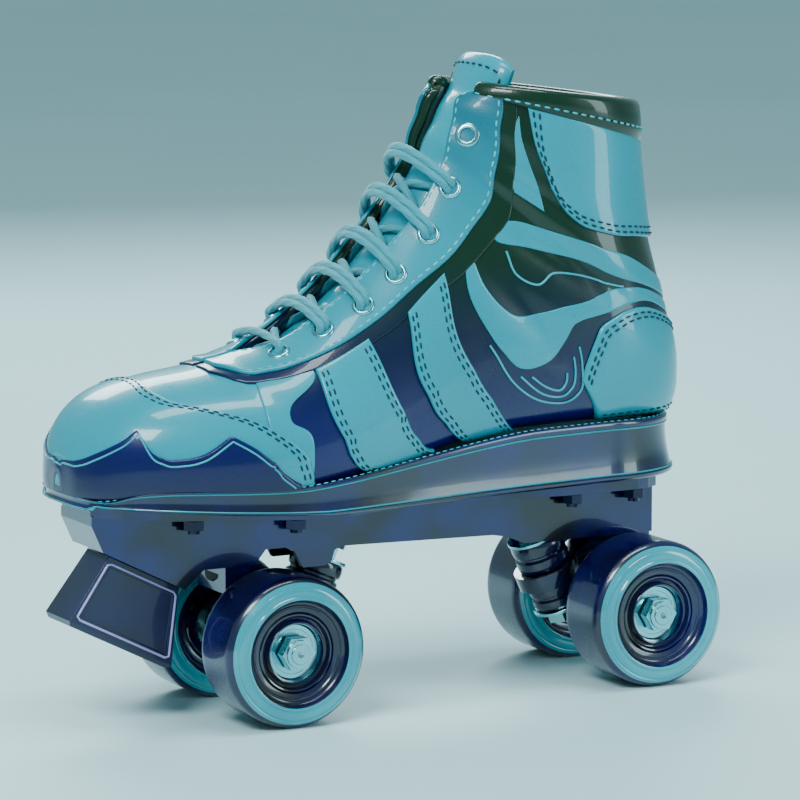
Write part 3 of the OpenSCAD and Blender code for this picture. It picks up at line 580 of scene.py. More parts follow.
STITCH_SPACING = 4.1
STITCH_RINGS = [(-1.25, 0.25), (-1.0, 1.0), (0.0, 1.15), (1.0, 1.0), (1.25, 0.25)]
STITCH_HALF = (0.36, 0.24)


def stitches(name, lines, lift, material="thread", mirrors=BOTH):
    """Thread dashes along lines on the surface, at an offset from the last."""
    points, faces = [], []
    for u, a in lines:
        for mirror in mirrors:
            b = 2 - a if mirror else a
            path = skin(u, b, lift + relief(u, b))
            run = run_of(path)
            count = int(run[-1] / STITCH_SPACING)
            at = (np.arange(count) + 0.5) * run[-1] / max(count, 1)
            centre = point_at(at, run, path)
            tangent = unit(point_at(at + 0.6, run, path) - point_at(at - 0.6, run, path))
            normal = skin_normal(np.interp(at, run, u), np.interp(at, run, b))
            normal = unit(normal - np.sum(normal * tangent, axis=1, keepdims=True) * tangent)
            side = np.cross(tangent, normal)
            for one in zip(centre, tangent, side, normal):
                dash(points, faces, *one, STITCH_RINGS, STITCH_HALF)
    add_mesh(name, np.array(points), faces, material, sharp=80)


def piping(name, line, lift, radius, mirror=False):
    """A thin teal cord along a line on the surface, used to lay painted highlight lines."""
    u, a = line
    if mirror:
        a = 2 - a
    path = skin(u, a, lift + relief(u, a))
    keep = [0]
    for i in range(1, len(path)):
        if np.linalg.norm(path[i] - path[keep[-1]]) > 0.9:
            keep.append(i)
    tube(name, path[keep], radius, 8, "foxing")


def tube(name, path, radius, sides, material, closed=False):
    """A tube along a path. radius is a number or a function of length along and angle."""
    path = np.asarray(path, float)
    along = unit(np.gradient(path, axis=0))
    spoke = np.array([0.0, 0.0, 1.0]) if abs(along[0][2]) < 0.9 else np.array([1.0, 0, 0])
    run = run_of(path)
    angle = np.arange(sides) * 2 * math.pi / sides
    points = []
    for p, d, length in zip(path, along, run):
        spoke = spoke - (spoke @ d) * d
        spoke = spoke / np.linalg.norm(spoke)
        other = np.cross(d, spoke)
        r = radius(length, angle) if callable(radius) else np.full(sides, radius)
        points.append(p + (np.cos(angle) * r)[:, None] * spoke + (np.sin(angle) * r)[:, None] * other)
    n = len(path)
    faces = grid_faces(n, sides, wrap=True) + (closing_faces if closed else end_faces)(n, sides)
    uv = np.stack([np.repeat(run, sides), np.tile(np.arange(sides) / sides, n)], axis=1)
    return add_mesh(name, np.concatenate(points), faces, material, uv=uv, sharp=75)


def resample(points, step):
    """A Catmull-Rom curve through points, with even steps in millimetres."""
    points = np.asarray(points, float)
    fine = spline(points, np.linspace(0, len(points) - 1, len(points) * 40))
    run = run_of(fine)
    return point_at(np.linspace(0, run[-1], max(2, int(run[-1] / step))), run, fine)


# ---- Edges of the upper's panels: share round by ring, or ring by share round ------------
COLLAR = 17.0
THROAT = 5.6
LEATHER_T = 3.0
PANEL_LO = 0.35
PANEL_HI = 1.75
LOWER_EDGE = [[0, 0.3], [6.5, 0.3], [8, 0.256], [9, 0.226], [10, 0.183], [11, 0.15], [12, 0.08],
              [12.4, 0], [18, 0]]
THROAT_EDGE = [[5.6, 1], [6.1, 0.95], [7, 0.915], [8, 0.895], [9, 0.87], [10, 0.86], [12, 0.87],
               [14, 0.885], [16, 0.9], [16.6, 0.885], [17, 0.85]]
STAY_EDGE = [[5.0, 0.95], [5.3, 0.86], [5.8, 0.82], [6.4, 0.795], [7.2, 0.765], [8, 0.745], [8.9, 0.73],
             [9.8, 0.72], [10.9, 0.73], [12.3, 0.738], [14, 0.732], [15.8, 0.73], [17, 0.745]]
BED = [[-125, 108.3], [-43, 108.3], [-9, 106.8], [23, 100.3], [55, 94.8], [82, 92.3], [106, 92.3],
       [129, 92.8], [147, 93.8], [159, 94.8], [172, 97]]
RIM = [[-125, 111.4], [-49, 111.9], [-27, 111.6], [-5, 109.6], [23, 106], [44, 103], [64, 100.3],
       [82, 98.6], [106, 99], [129, 99.6], [140, 99.4], [150, 98], [159, 94.9], [164, 95.7], [172, 97.1]]
CAP_EDGE = [[0.2, 6.2], [0.4, 6.2], [0.5, 6.1], [0.54, 5.9], [0.59, 5.58], [0.65, 5.13], [0.71, 4.52],
            [0.77, 3.95], [0.84, 3.72], [1, 3.75]]
CAP_START = 0.75
# The upper edge of the toe's navy painted reflection is three arcs that meet in two points on each side.
TOE_REFLECTION_ARCS = [
    [[0, 1], [0.3, 1], [0.5, 0.88], [0.8, 0.76], [1.2, 0.69], [1.7, 0.655], [2.3, 0.65], [2.64, 0.66],
     [2.98, 0.69]],
    [[2.98, 0.69], [3.12, 0.61], [3.45, 0.55], [3.8, 0.54], [4.2, 0.55], [4.68, 0.605]],
    [[4.68, 0.605], [5.04, 0.56], [5.4, 0.51], [5.7, 0.48], [5.95, 0.43]],
]
BANDS = [
    [[[7.2, 0.36], [6.65, 0.58], [6.6, 0.75]], [[8.2, 0.33], [7.8, 0.54], [7.7, 0.725]]],
    [[[8.7, 0.33], [8.25, 0.55], [8.55, 0.7]], [[9.45, 0.33], [9.15, 0.56], [9.6, 0.705]]],
]
# The counter's front and upper edge, from the sole on one side to the middle of the heel.
COUNTER_EDGE = [[10.75, 0.4], [11, 0.435], [11.4, 0.468], [11.9, 0.48], [12.6, 0.44], [13.24, 0.35],
                [13.6, 0.2], [13.7, 0]]
PATCH_LOW = [[0, 15], [0.2, 14.85], [0.36, 14.46], [0.47, 13.96], [0.54, 13.6], [0.575, 13.65], [0.6, 13.95]]
PATCH_TOP = 16.45


def bed_z(x):
    return np.interp(x, *np.array(BED).T)


def rim_z(x):
    return smooth(RIM, x)


def hem_table():
    """The share round at which the upper comes out of the sole's rim, ring by ring."""
    table = []
    shares = np.linspace(0, 0.95, 381)
    for u in np.linspace(0, 13, 105):
        p = skin(np.full_like(shares, u), shares, PANEL_HI)
        out = p[:, 2] > rim_z(p[:, 0]) + 0.3
        table.append([u, shares[np.argmax(out)] if out.any() else 0.95])
    return np.array(table).T


HEM = hem_table()


def hem(u):
    return np.interp(u, *HEM)


def toe_reflection_top(u):
    parts = [smooth(arc, u) for arc in TOE_REFLECTION_ARCS]
    return np.where(u < TOE_REFLECTION_ARCS[1][0][0], parts[0], np.where(u < TOE_REFLECTION_ARCS[2][0][0], parts[1], parts[2]))


def quarter_at(s, t):
    u = mix(THROAT, COLLAR, s)
    return u, mix(np.interp(u, *np.array(LOWER_EDGE).T), smooth(THROAT_EDGE, u), t)


def cap_at(s, t):
    a = mix(0.36, 1.64, t)
    phi = np.minimum(a, 2 - a)
    u = mix(CAP_START, smooth(CAP_EDGE, phi), s)
    return u, np.where(a < 1, np.maximum(a, hem(u)), np.minimum(a, 2 - hem(u)))


def toe_reflection_at(s, t):
    """The toe's navy painted reflection runs round the toe's tip from one side to the other."""
    v = mix(-5.93, 5.93, s)
    u = np.maximum(np.abs(v), mix(0.02, 0.3, t))
    a = mix(hem(u), np.minimum(toe_reflection_top(u), 1), t)
    return u, np.where(v > 0, a, 2 - a)


def toe_reflection_tip_at(s, t):
    """The painted reflection across the very tip of the toe."""
    u = mix(0.02, 0.3, s)
    return u, mix(hem(u), 2 - hem(u), t)


def between(first, second, s, t):
    """[ring, share] between two curves: t runs along both, s from the first to the second."""
    t = np.asarray(t)
    start = spline(first, (len(first) - 1) * t)
    end = spline(second, (len(second) - 1) * t)
    return mix(start, end, np.asarray(s)[..., None])


def band_at(front, rear):
    def place(s, t):
        q = between(front, rear, s, t)
        u = q[..., 0]
        return u, mix(hem(u), q[..., 1], np.minimum(4 * t, 1))
    return place


def counter_at(s, t):
    k = 1 - np.abs(2 * t - 1)
    u = mix(10.7, 12.35, k)
    foot = np.stack([u, hem(u)], axis=-1)
    q = mix(foot, spline(COUNTER_EDGE, 7 * k), np.asarray(s)[..., None])
    return q[..., 0], np.where(t < 0.5, q[..., 1], -q[..., 1])


def patch_at(s, t):
    half = mix(0.6, 0.66, s)
    a = mix(-half, half, t)
    return mix(smooth(PATCH_LOW, 0.6 * np.abs(a) / half), PATCH_TOP, s), a


def stay_at(s, t):
    u = mix(5.02, 16.95, s)
    return u, mix(smooth(STAY_EDGE, u), smooth(THROAT_EDGE, u) - 0.006, t)


def trim_at(s, t):
    """A dark trim that shows outside the eyestay's outer edge and round the throat's base."""
    u = mix(4.86, 16.9, s)
    width = 0.034 + 0.01 * ease((u - 5.5) / 2)
    outer = smooth(STAY_EDGE, u + 0.14 * (1 - ease((u - 5) / 2))) - width
    return u, mix(outer, smooth(THROAT_EDGE, u) - 0.008, t)


# ---- The boot's upper ------------
def make_upper():
    def vamp_at(s, t):
        return mix(0.0, THROAT, s), mix(0.3, 1.7, t)

    vamp = panel("vamp_shell", [vamp_at], (95, 150), -LEATHER_T, 0, "teal_leather", flat_sides=SIDES[:2])
    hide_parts("vamp")
    for name, mirror in LEFT_RIGHT:
        quarter = panel(f"{name}_quarter_shell", [quarter_at], (250, 90), -LEATHER_T, 0, "green_leather",
                        mirrors=(mirror,), flat_sides=("s0",))
        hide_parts(f"{name}_quarter")
    cap = panel("toe_cap_panel", [cap_at], (90, 170), PANEL_LO, PANEL_HI, "teal_leather",
                flat_sides=("s0", "t0", "t1"))
    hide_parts("toe_cap")
    # The toe's dark lower band with its scalloped upper edge is a painted reflection, built as a navy sheet
    # over the toe cap.
    guard = panel("toe_painted_reflection_panel", [toe_reflection_at], (270, 26), PANEL_HI + 0.2, PANEL_HI + 1.3, "navy_leather",
                  step=1.4, flat_sides=("t0",))
    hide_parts("toe_guard")
    panel("toe_painted_reflection_tip", [toe_reflection_tip_at], (16, 40), PANEL_HI - 0.6, PANEL_HI + 1.2, "navy_leather",
          step=0.5, round_r=0.3)
    places = [band_at(*b) for b in BANDS]
    bands = panel("side_band_panels", places, (22, 75), PANEL_LO, PANEL_HI, "teal_leather",
                  mirrors=BOTH, flat_sides=("t0",))
    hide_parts("side_bands")
    counter = panel("heel_counter_panel", [counter_at], (45, 170), PANEL_LO, PANEL_HI, "teal_leather",
                    puff=0.4)
    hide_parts("heel_counter")
    patch = panel("ankle_patch_panel", [patch_at], (50, 190), PANEL_LO, PANEL_HI, "teal_leather", puff=0.4)
    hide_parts("ankle_patch")
    for name, mirror in LEFT_RIGHT:
        # The eyestays' darker upper ends are painted shade.
        stay = panel(f"{name}_eyestay_panel", [stay_at], (180, 16), PANEL_LO + 0.5, PANEL_HI + 0.6,
                     "stay_leather", mirrors=(mirror,), step=1.6)
        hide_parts(f"{name}_eyestay")
    panel("eyestay_trim", [trim_at], (150, 24), 0.1, 1.0, "green_leather", mirrors=BOTH)

    def lining_at(s, t):
        u = mix(12.6, COLLAR - 0.05, s)
        return u, mix(-1, 1, t) * (smooth(THROAT_EDGE, u) - 0.01)

    lining = panel("collar_lining", [lining_at], (110, 230), -LEATHER_T - 1.6, -LEATHER_T - 0.1,
                   "lining_fabric", puff=1.2, round_r=1.4, inward=True)

    def strap_at(s, t):
        return mix(12.5, 16.5, s), mix(-0.05, 0.05, t)

    panel("back_strap", [strap_at], (150, 14), PANEL_HI + 0.3, PANEL_HI + 1.2, "green_leather", puff=0.2)
    make_collar_roll()
    make_painted_reflections()


def make_collar_roll():
    """A padded band folded over the collar's edge: one closed profile swept round the shaft."""
    edge = float(smooth(THROAT_EDGE, COLLAR)) + 0.012
    shares = np.linspace(-edge, edge, 200)
    # Ring, offset from the last and extra height of the profile, from the outer hem over the top.
    profile = [(16.42, 1.4, 0), (16.45, 2.0, 0), (16.6, 2.5, 0), (16.8, 2.6, 0), (17, 2.4, 0.3),
               (17, 1.7, 1.7),
               (17, 0.2, 2.6), (17, -1.8, 2.9), (17, -3.9, 2.6), (17, -5.4, 1.6), (17, -6.0, 0),
               (16.7, -5.9, 0), (16.45, -5.1, 0), (16.42, -3.2, 0), (16.7, -3.05, 0), (17, -2.2, 0.4),
               (17, -0.4, 0.6), (17, 0.9, 0.3), (16.7, 1.3, 0)]
    rows = []
    for u, off, up in profile:
        row = skin(np.full_like(shares, u), shares, off)
        row[:, 2] += up
        rows.append(row)
    rings = np.array(rows).transpose(1, 0, 2)
    # The ends are drawn in to a rounded tip.
    middle = rings.mean(axis=1, keepdims=True)
    reach = np.minimum(shares + edge, edge - shares)
    shrink = np.sqrt(1 - (1 - np.clip(reach / 0.02, 0.02, 1)) ** 2)[:, None, None]
    rings = middle + (rings - middle) * shrink
    n, m = rings.shape[:2]
    faces = grid_faces(n, m, wrap=True) + end_faces(n, m)
    roll = add_mesh("collar_roll", rings.reshape(-1, 3), faces, "green_leather", sharp=70)
    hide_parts("collar_binding")


# Teal panels that paint the patent leather's reflections onto the dark quarters, each between two curves of
# [ring, share round].
PAINTED_REFLECTIONS = [
    # The lower ankle, from the eyestay down and back to the counter.
    ([[10.25, 0.712], [9.8, 0.64], [9.72, 0.56], [9.85, 0.49], [10.4, 0.475], [11.3, 0.5], [12.2, 0.48],
      [13.2, 0.38], [13.6, 0.25], [13.75, 0.06]],
     [[10.42, 0.705], [10.18, 0.63], [10.34, 0.56], [10.9, 0.54], [11.5, 0.53], [12.1, 0.51], [12.8, 0.47],
      [13.45, 0.38], [13.8, 0.25], [13.95, 0.06]]),
    # The long swoosh across the ankle.
    ([[11.3, 0.71], [11.15, 0.68], [11.8, 0.635], [12.55, 0.56], [13.05, 0.48], [13.6, 0.36], [13.9, 0.22],
      [14.0, 0.06]],
     [[11.5, 0.715], [12.2, 0.67], [12.85, 0.59], [13.45, 0.5], [13.85, 0.42], [14.05, 0.33], [14.2, 0.2],
      [14.25, 0.06]]),
    # The leaf between the eyestay and the ankle patch.
    ([[15.9, 0.683], [15.0, 0.695], [14.2, 0.7], [13.4, 0.705], [12.9, 0.69]],
     [[15.9, 0.68], [15.0, 0.665], [14.2, 0.65], [13.6, 0.63], [13.1, 0.62]]),
    # The wing between the toe cap and the first band.
    ([[5.45, 0.8], [5.4, 0.72], [5.4, 0.62], [5.4, 0.55], [5.4, 0.46], [5.4, 0.37]],
     [[6.6, 0.78], [6.5, 0.72], [5.95, 0.68], [5.85, 0.62], [6.2, 0.55], [6.15, 0.38]]),
]
# Thin raised teal cords that paint highlight lines in the dark pocket in front of the counter and round the
# swoosh.
HIGHLIGHT_CORDS = [
    [[9.62, 0.53], [9.7, 0.46], [9.95, 0.38], [10.3, 0.34], [10.65, 0.37], [10.9, 0.43], [11.1, 0.475]],
    [[9.85, 0.47], [10.05, 0.4], [10.3, 0.37], [10.55, 0.39], [10.75, 0.43], [10.9, 0.465]],
    [[10.02, 0.46], [10.15, 0.42], [10.32, 0.395], [10.48, 0.41], [10.62, 0.44]],
    [[11.15, 0.66], [10.95, 0.62], [11.2, 0.585], [11.75, 0.585], [12.25, 0.55], [12.75, 0.49], [13.1, 0.44]],
]


def painted_reflection_at(lower, upper):
    def place(s, t):
        q = between(lower, upper, s, t)
        return q[..., 0], np.maximum(q[..., 1], hem(q[..., 0]))
    return place


def make_painted_reflections():
    # Teal sheets laid as painted reflections on both quarters.
    for number, (lower, upper) in enumerate(PAINTED_REFLECTIONS, 1):
        panel(f"quarter_painted_reflection_{number}", [painted_reflection_at(lower, upper)], (14, 110), 0.05, 0.75, "teal_leather",
              mirrors=BOTH, step=1.6, puff=0.25, round_r=0.7)
    # The cords are painted highlight lines.
    for number, route in enumerate(HIGHLIGHT_CORDS, 1):
        line = spline(route, np.linspace(0, len(route) - 1, 200))
        for side, mirror in LEFT_RIGHT:
            piping(f"{side}_quarter_cord_{number}", (line[:, 0], line[:, 1]), 0.25, 0.5, mirror)


def make_tongue():
    top = -6.75
    thick = 4.5

    def tongue_at(s, t):
        half = mix(0.14, 0.24, s)
        end = 18.0 - 0.35 * np.abs(2 * t - 1) ** 3
        return mix(5.9, end, s), mix(1 - half, 1 + half, t)

    tongue = panel("tongue_pad", [tongue_at], (160, 46), top - thick, top - 0.3, "teal_leather",
                   puff=0.9, round_r=3.4, step=2.4)
    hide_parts("tongue")
    lines = seam(tongue_at, ("t0", "t1"), (4.5,), (0.05, 0.97))
    lines += seam(tongue_at, ("s1",), (5.0,), (0.1, 0.9))
    stitches("tongue_stitching", lines, top + 0.55, mirrors=(False,))


# ---- Laces ------------
EYELETS = [[6.15, 0.875], [7.1, 0.84], [7.9, 0.805], [8.75, 0.79], [9.85, 0.79], [11.25, 0.815]]
LACE_R = 1.4
STRAND_GAP = 1.5
LACE_OVER = 3.35 + LACE_R + 0.3
LACE_UNDER = -LEATHER_T - LACE_R - 0.25
OVER = np.array([0.03, 0.1, 0.2, 0.35, 0.5, 0.65, 0.8, 0.9, 0.97])
UNDER = np.array([0.05, 0.15, 0.3, 0.4, 0.5, 0.6, 0.7, 0.85, 0.95])
THROUGH = [LACE_UNDER + 0.5, -1.5, 2.4]


def lace_path():
    """One lace: the two halves' routes, from one tucked end to the other."""
    def round_at(i, half, share):
        a = EYELETS[i][1]
        return mix(2 - a, a, share) if half > 0 else mix(a, 2 - a, share)

    def beside(u, a, h, shift):
        ahead = skin(u + 0.05, a, h) - skin(u - 0.05, a, h)
        return skin(u, a, h) + shift * unit(ahead)

    def cross_under(i, half):
        route = []
        for t in UNDER:
            lift = 3.2 * max(0, 1 - ((t - 0.5) / 0.3) ** 2) if half > 0 else 0
            u = mix(EYELETS[i][0], EYELETS[i + 1][0], t)
            a = mix(round_at(i, half, 1), round_at(i + 1, half, 0), t)
            route.append(skin(u, a, LACE_UNDER + lift))
        return route

    def row(i, half):
        u = EYELETS[i][0]
        shift = half * STRAND_GAP
        up = [beside(u, round_at(i, half, 0), h, shift) for h in THROUGH]
        bar = [beside(u, round_at(i, half, t), LACE_OVER + 0.5 * math.sin(math.pi * t), shift) for t in OVER]
        down = [beside(u, round_at(i, half, 1), h, shift) for h in reversed(THROUGH)]
        return up + bar + down

    def strand(half):
        last = len(EYELETS) - 1
        route = []
        for i in range(1, last + 1):
            route += cross_under(i - 1, half) + row(i, half)
        for more in (0.5, 1.2):
            route.append(skin(EYELETS[last][0] + more, round_at(last, half, 1), LACE_UNDER))
        return route

    u, a = EYELETS[0]
    first = [skin(u, a, h) for h in THROUGH]
    first += [skin(u, mix(a, 2 - a, t), LACE_OVER) for t in OVER]
    first += [skin(u, 2 - a, h) for h in reversed(THROUGH)]
    return strand(1)[::-1] + first + strand(-1)


def make_laces():
    path = resample(lace_path(), 0.55)

    def rope(length, angle):
        return 1.62 * (1 + 0.11 * np.cos(4 * angle + 2 * math.pi * length / 9.0))

    laces = tube("lace_cord", path, rope, 16, "lace_cotton")
    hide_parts("laces")


# ---- Stitching ------------
def make_stitching():
    top = PANEL_HI + 0.05
    cap = seam(cap_at, ("s1",), (2.2, 4.6), (0.06, 0.94))
    stitches("toe_cap_stitching", cap, top, mirrors=(False,))
    guard = edge_line(toe_reflection_at, "t1", 2.1, (0.01, 0.99), 700)
    # A teal cord along the upper edge of the toe's painted reflection: a painted highlight line.
    piping("toe_reflection_highlight_piping", guard, PANEL_HI + 1.3, 0.42)
    band = []
    for front, rear in BANDS:
        band += seam(band_at(front, rear), ("s0", "s1"), (1.8, 4.0), (0.02, 0.96))
    stitches("side_band_stitching", band, top)
    stay = seam(stay_at, ("t0",), (1.8,), (0.02, 0.97))
    stay += seam(stay_at, ("t1",), (1.8,), (0.04, 0.97))
    stay += seam(stay_at, ("s1",), (2.4,), (0.15, 0.9))
    stitches("eyestay_stitching", stay, top + 0.6, "pale_thread")
    back = seam(counter_at, ("s0", "s1"), (2.0, 4.4), (0.02, 0.98))
    stitches("heel_counter_stitching", back, top + 0.35, mirrors=(False,))
    patch = seam(patch_at, ("s0",), (2.2, 4.8), (0.01, 0.99))
    patch += seam(patch_at, ("t0", "t1"), (2.2, 4.8), (0.06, 0.98))
    stitches("ankle_patch_stitching", patch, top + 0.35, mirrors=(False,))
    shares = np.linspace(-0.74, 0.74, 300)
    collar = [(np.full_like(shares, 16.62), shares)]
    stitches("collar_stitching", collar, 3.2, "pale_thread", mirrors=(False,))


# ---- The sole ------------
DECK_Z = 86.0
TOE_RISE_X = 70.0
TOE_RISE = 7.4 / 102
# Half widths of the sole between the toe's and the heel's round ends.
WAIST = [[82, 46], [55, 44.5], [23, 41], [-9, 37.2], [-43, 33.6], [-70, 31]]
TOE_X, TOE_HALF = WAIST[0]
HEEL_X, HEEL_HALF = WAIST[-1]
TOE_LENGTH = 80
HEEL_LENGTH = 36.5


def outline(grow):
    """The sole's outline from above, round from the toe's tip, left side first."""
    c = np.linspace(0, math.pi / 2, 40)
    toe = [TOE_X + (TOE_LENGTH + grow) * np.cos(c) ** (2 / 3), (TOE_HALF + grow) * np.sin(c) ** (2 / 3)]
    toe = np.stack(toe, axis=1)
    middle = spline(WAIST, np.linspace(0, 5, 46)[1:-1]) + np.array([0, grow])
    heel = [HEEL_X - (HEEL_LENGTH + grow) * np.sin(c) ** 0.87, (HEEL_HALF + grow) * np.cos(c) ** 0.87]
    heel = np.stack(heel, axis=1)
    half = np.concatenate([toe, middle, heel])
    other = half[-2:0:-1] * np.array([1, -1])
    loop = np.concatenate([half, other])
    loop[:, 1] += centre_y(loop[:, 0])
    return loop


def deck_top(x):
    return DECK_Z + np.maximum(0, x - TOE_RISE_X) * TOE_RISE


def cap_faces(n, first, flip=False):
    """Fills a closed outline by strips between its left and its right half."""
    faces = []
    for i in range(n // 2):
        a, b = i, i + 1
        c, d = (n - i - 1) % n, (n - i) % n
        face = [first + v for v in dict.fromkeys((a, b, c, d))]
        if len(face) > 2:
            faces.append(tuple(reversed(face)) if flip else tuple(face))
    return faces


def loft(name, rows, material, caps=True):
    """A closed solid from outlines stacked on each other, with caps or else closed as a ring."""
    n = len(rows[0])
    faces = grid_faces(len(rows), n, wrap=True)
    if caps:
        faces += cap_faces(n, 0) + cap_faces(n, (len(rows) - 1) * n, flip=True)
    else:
        faces += closing_faces(len(rows), n)
    return add_mesh(name, np.concatenate(rows), faces, material, sharp=50)


def ring_at(grow, height, flare=0.0):
    """An outline at a height that is a function of x. flare draws the heel's end back."""
    loop = outline(grow)
    x = loop[:, 0]
    back = np.clip((-x - 60) / 55, 0, 1) ** 2 * flare
    return np.stack([x - back, loop[:, 1], height(x)], axis=1)


def make_sole():
    def bottom(x):
        return deck_top(x) + 0.05 - 2.2 * ease((x - 161.2) / 0.4)

    def wall(t):
        """A height up the sole's side: it is thinner at the toe, so the beads shrink there."""
        return lambda x: mix(bottom(x), rim_z(x), t)

    flare = 4.6
    # Growth of the outline, height and share of the flare, from the lower bead to the upper one.
    rows = [(0.6, 0.0, 0.9), (2.2, 0.012, 1.0), (3.1, 0.045, 1.0), (3.3, 0.09, 0.97), (2.7, 0.115, 0.95),
            (2.6, 0.15, 0.92)]
    for t in np.linspace(0.1, 0.9, 8):
        rows.append((2.6 - 0.5 * math.sin(math.pi * t), mix(0.16, 0.84, t), 0.9 * (1 - t)))
    rows += [(2.6, 0.85, 0.05), (2.7, 0.875, 0.02), (3.3, 0.9, 0), (3.4, 0.96, 0), (3.1, 0.985, 0),
             (2.5, 1.0, 0), (1.1, 1.0, 0)]
    rings = [ring_at(grow, wall(t), flare * share) for grow, t, share in rows]
    rings += [ring_at(0.8, lambda x: np.minimum(rim_z(x) - 0.05, bed_z(x) + 0.3)),
              ring_at(0.0, lambda x: np.minimum(rim_z(x) - 0.05, bed_z(x) + 0.2))]
    sole = loft("sole_unit", rings, "sole_rubber")
    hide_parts("outsole")
    for name, at, lean in (("foxing_low", 0.13, flare * 0.95), ("foxing_high", 0.865, 0.03)):
        strip = []
        for grow, up in ((2.2, 0.0), (2.95, -0.35), (3.3, 0.0), (2.95, 0.35)):
            strip.append(ring_at(grow, lambda x, g=up: wall(at)(x) + g, lean))
        loft(name, strip, "foxing", caps=False)
    low = [ring_at(-8, lambda x: bed_z(x) + 0.25), ring_at(-7.6, lambda x: bed_z(x) + 0.9),
           ring_at(-8.2, lambda x: bed_z(x) + 1.8), ring_at(-9.5, lambda x: bed_z(x) + 2.1)]
    insole = loft("insole_pad", low, "insole_fabric")
    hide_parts("insole")


WELT_SPACING = 3.4
WELT_RINGS = [(-1.0, 0.3), (-0.8, 1.0), (0.8, 1.0), (1.0, 0.3)]
WELT_HALF = (0.34, 0.26)


def make_welt_stitching():
    """Dashes along the rim's upper face."""
    loop = ring_at(1.9, lambda x: rim_z(x) + 0.05)
    loop = np.concatenate([loop, loop[:1]])
    run = run_of(loop)
    count = int(run[-1] / WELT_SPACING)
    points, faces = [], []
    for at in np.arange(count) * run[-1] / count:
        centre = point_at(at, run, loop)
        along = unit(point_at(at + 0.5, run, loop) - centre)
        side = unit(np.cross(along, np.array([0, 0, 1.0])))
        dash(points, faces, centre, along, side, np.cross(side, along), WELT_RINGS, WELT_HALF)
    add_mesh("welt_stitching", np.array(points), faces, "pale_thread", sharp=80)


# ---- Wheels ------------
AXLE_X = 85.0
AXLE_Z = 31.0
WHEEL_Y = 34.0
WHEEL_R = 31.0
ENDS = (("front", 1), ("rear", -1))
LATHE_SIDES = 96


def lathe(name, profile, centre, axis, material, body, split=None):
    """Turns a profile of [radius, height along the axis]. split gives a material index per radius."""
    axis = unit(np.asarray(axis, float))
    first = unit(np.cross(axis, np.array([0.0, 1.0, 0.0]) if abs(axis[1]) < 0.9 else np.array([1.0, 0, 0])))
    second = np.cross(axis, first)
    angle = np.arange(LATHE_SIDES) * 2 * math.pi / LATHE_SIDES
    ring = np.cos(angle)[:, None] * first + np.sin(angle)[:, None] * second
    profile = np.asarray(profile, float)
    points = np.asarray(centre, float) + profile[:, None, :1] * ring[None] + profile[:, None, 1:] * axis
    n = len(profile)
    faces = grid_faces(n, LATHE_SIDES, wrap=True) + closing_faces(n, LATHE_SIDES)
    index = None
    if split:
        rows = [split(*(profile[i] + profile[(i + 1) % n]) / 2) for i in range(n)]
        index = [rows[i] for i in range(n) for _ in range(LATHE_SIDES)]
    return add_mesh(name, points.reshape(-1, 3), faces, material, body=body, materials=index,
                    sharp=35)


def arc(centre, radius, start, end, steps):
    """Points of a circular arc in a profile, in degrees."""
    at = np.radians(np.linspace(start, end, steps))
    return np.stack([centre[0] + radius * np.cos(at), centre[1] + radius * np.sin(at)], axis=1).tolist()


def tyre_profile():
    """Half of the tyre: a dished inner ring, a lip, a convex face and the shoulder."""
    face = [[16.53, 11.6], [16.8, 12.1], [17.4, 12.3], [18.6, 12.5], [19.0, 12.9], [19.4, 12.9],
            [19.8, 12.6], [20.6, 12.9], [21.3, 13.8], [21.7, 15.1], [22.1, 15.75], [22.7, 15.95],
            [23.3, 15.8], [23.6, 15.4], [24.0, 15.35], [24.8, 15.55], [26.0, 15.45], [26.9, 15.1],
            [27.1, 14.8], [27.4, 14.75], [27.8, 14.9]]
    face += arc((25.9, 9.9), 5.1, 58, 6, 9)
    face += [[WHEEL_R, 9.0], [WHEEL_R, 5.0]]
    return face


def hub_profile():
    """Half of the hub's outer face, from the tyre's bore in to the bearing's seat and its web."""
    return [[16.45, 10.8], [16.3, 11.9], [15.8, 12.3], [15.2, 12.1], [14.8, 11.4], [14.3, 10.4],
            [13.7, 10.2], [13.3, 10.6], [12.9, 12.3], [12.5, 12.75], [12.0, 12.6], [11.7, 11.8],
            [11.4, 9.4], [11.03, 9.1], [11.03, 2.0], [9.5, 2.0]]


def mirrored(half):
    return half + [[r, -z] for r, z in reversed(half)]


def make_wheels():
    def face_or_tread(radius, height):
        return 0 if 22.0 < radius < 28.9 and abs(height) > 12 else 1

    for end, sign in ENDS:
        for side, way in (("left", 1), ("right", -1)):
            centre = (sign * AXLE_X, way * WHEEL_Y, AXLE_Z)
            body = f"{end}_{side}_wheel"
            tyre = lathe(f"{body}_tyre", mirrored(tyre_profile()), centre, (0, way, 0),
                         ["wheel_face", "wheel_tread"], body, split=face_or_tread)
            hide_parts(f"{end}_{side}_tyre")
            hub = lathe(f"{body}_hub", mirrored(hub_profile()), centre, (0, way, 0), "hub_plastic",
                        body)
            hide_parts(f"{end}_{side}_hub")


# ---- Toe stop's side frames ------------
PAD_CENTRE = np.array([137.6, 0.0, 63.8])
PAD_TILT = math.radians(26.9)


def on_pad(x, y, z):
    """A point on the toe stop: x up the pad towards the toe, z into the plate."""
    c, s = math.cos(PAD_TILT), math.sin(PAD_TILT)
    return PAD_CENTRE + np.array([x * c - z * s, y, x * s + z * c])


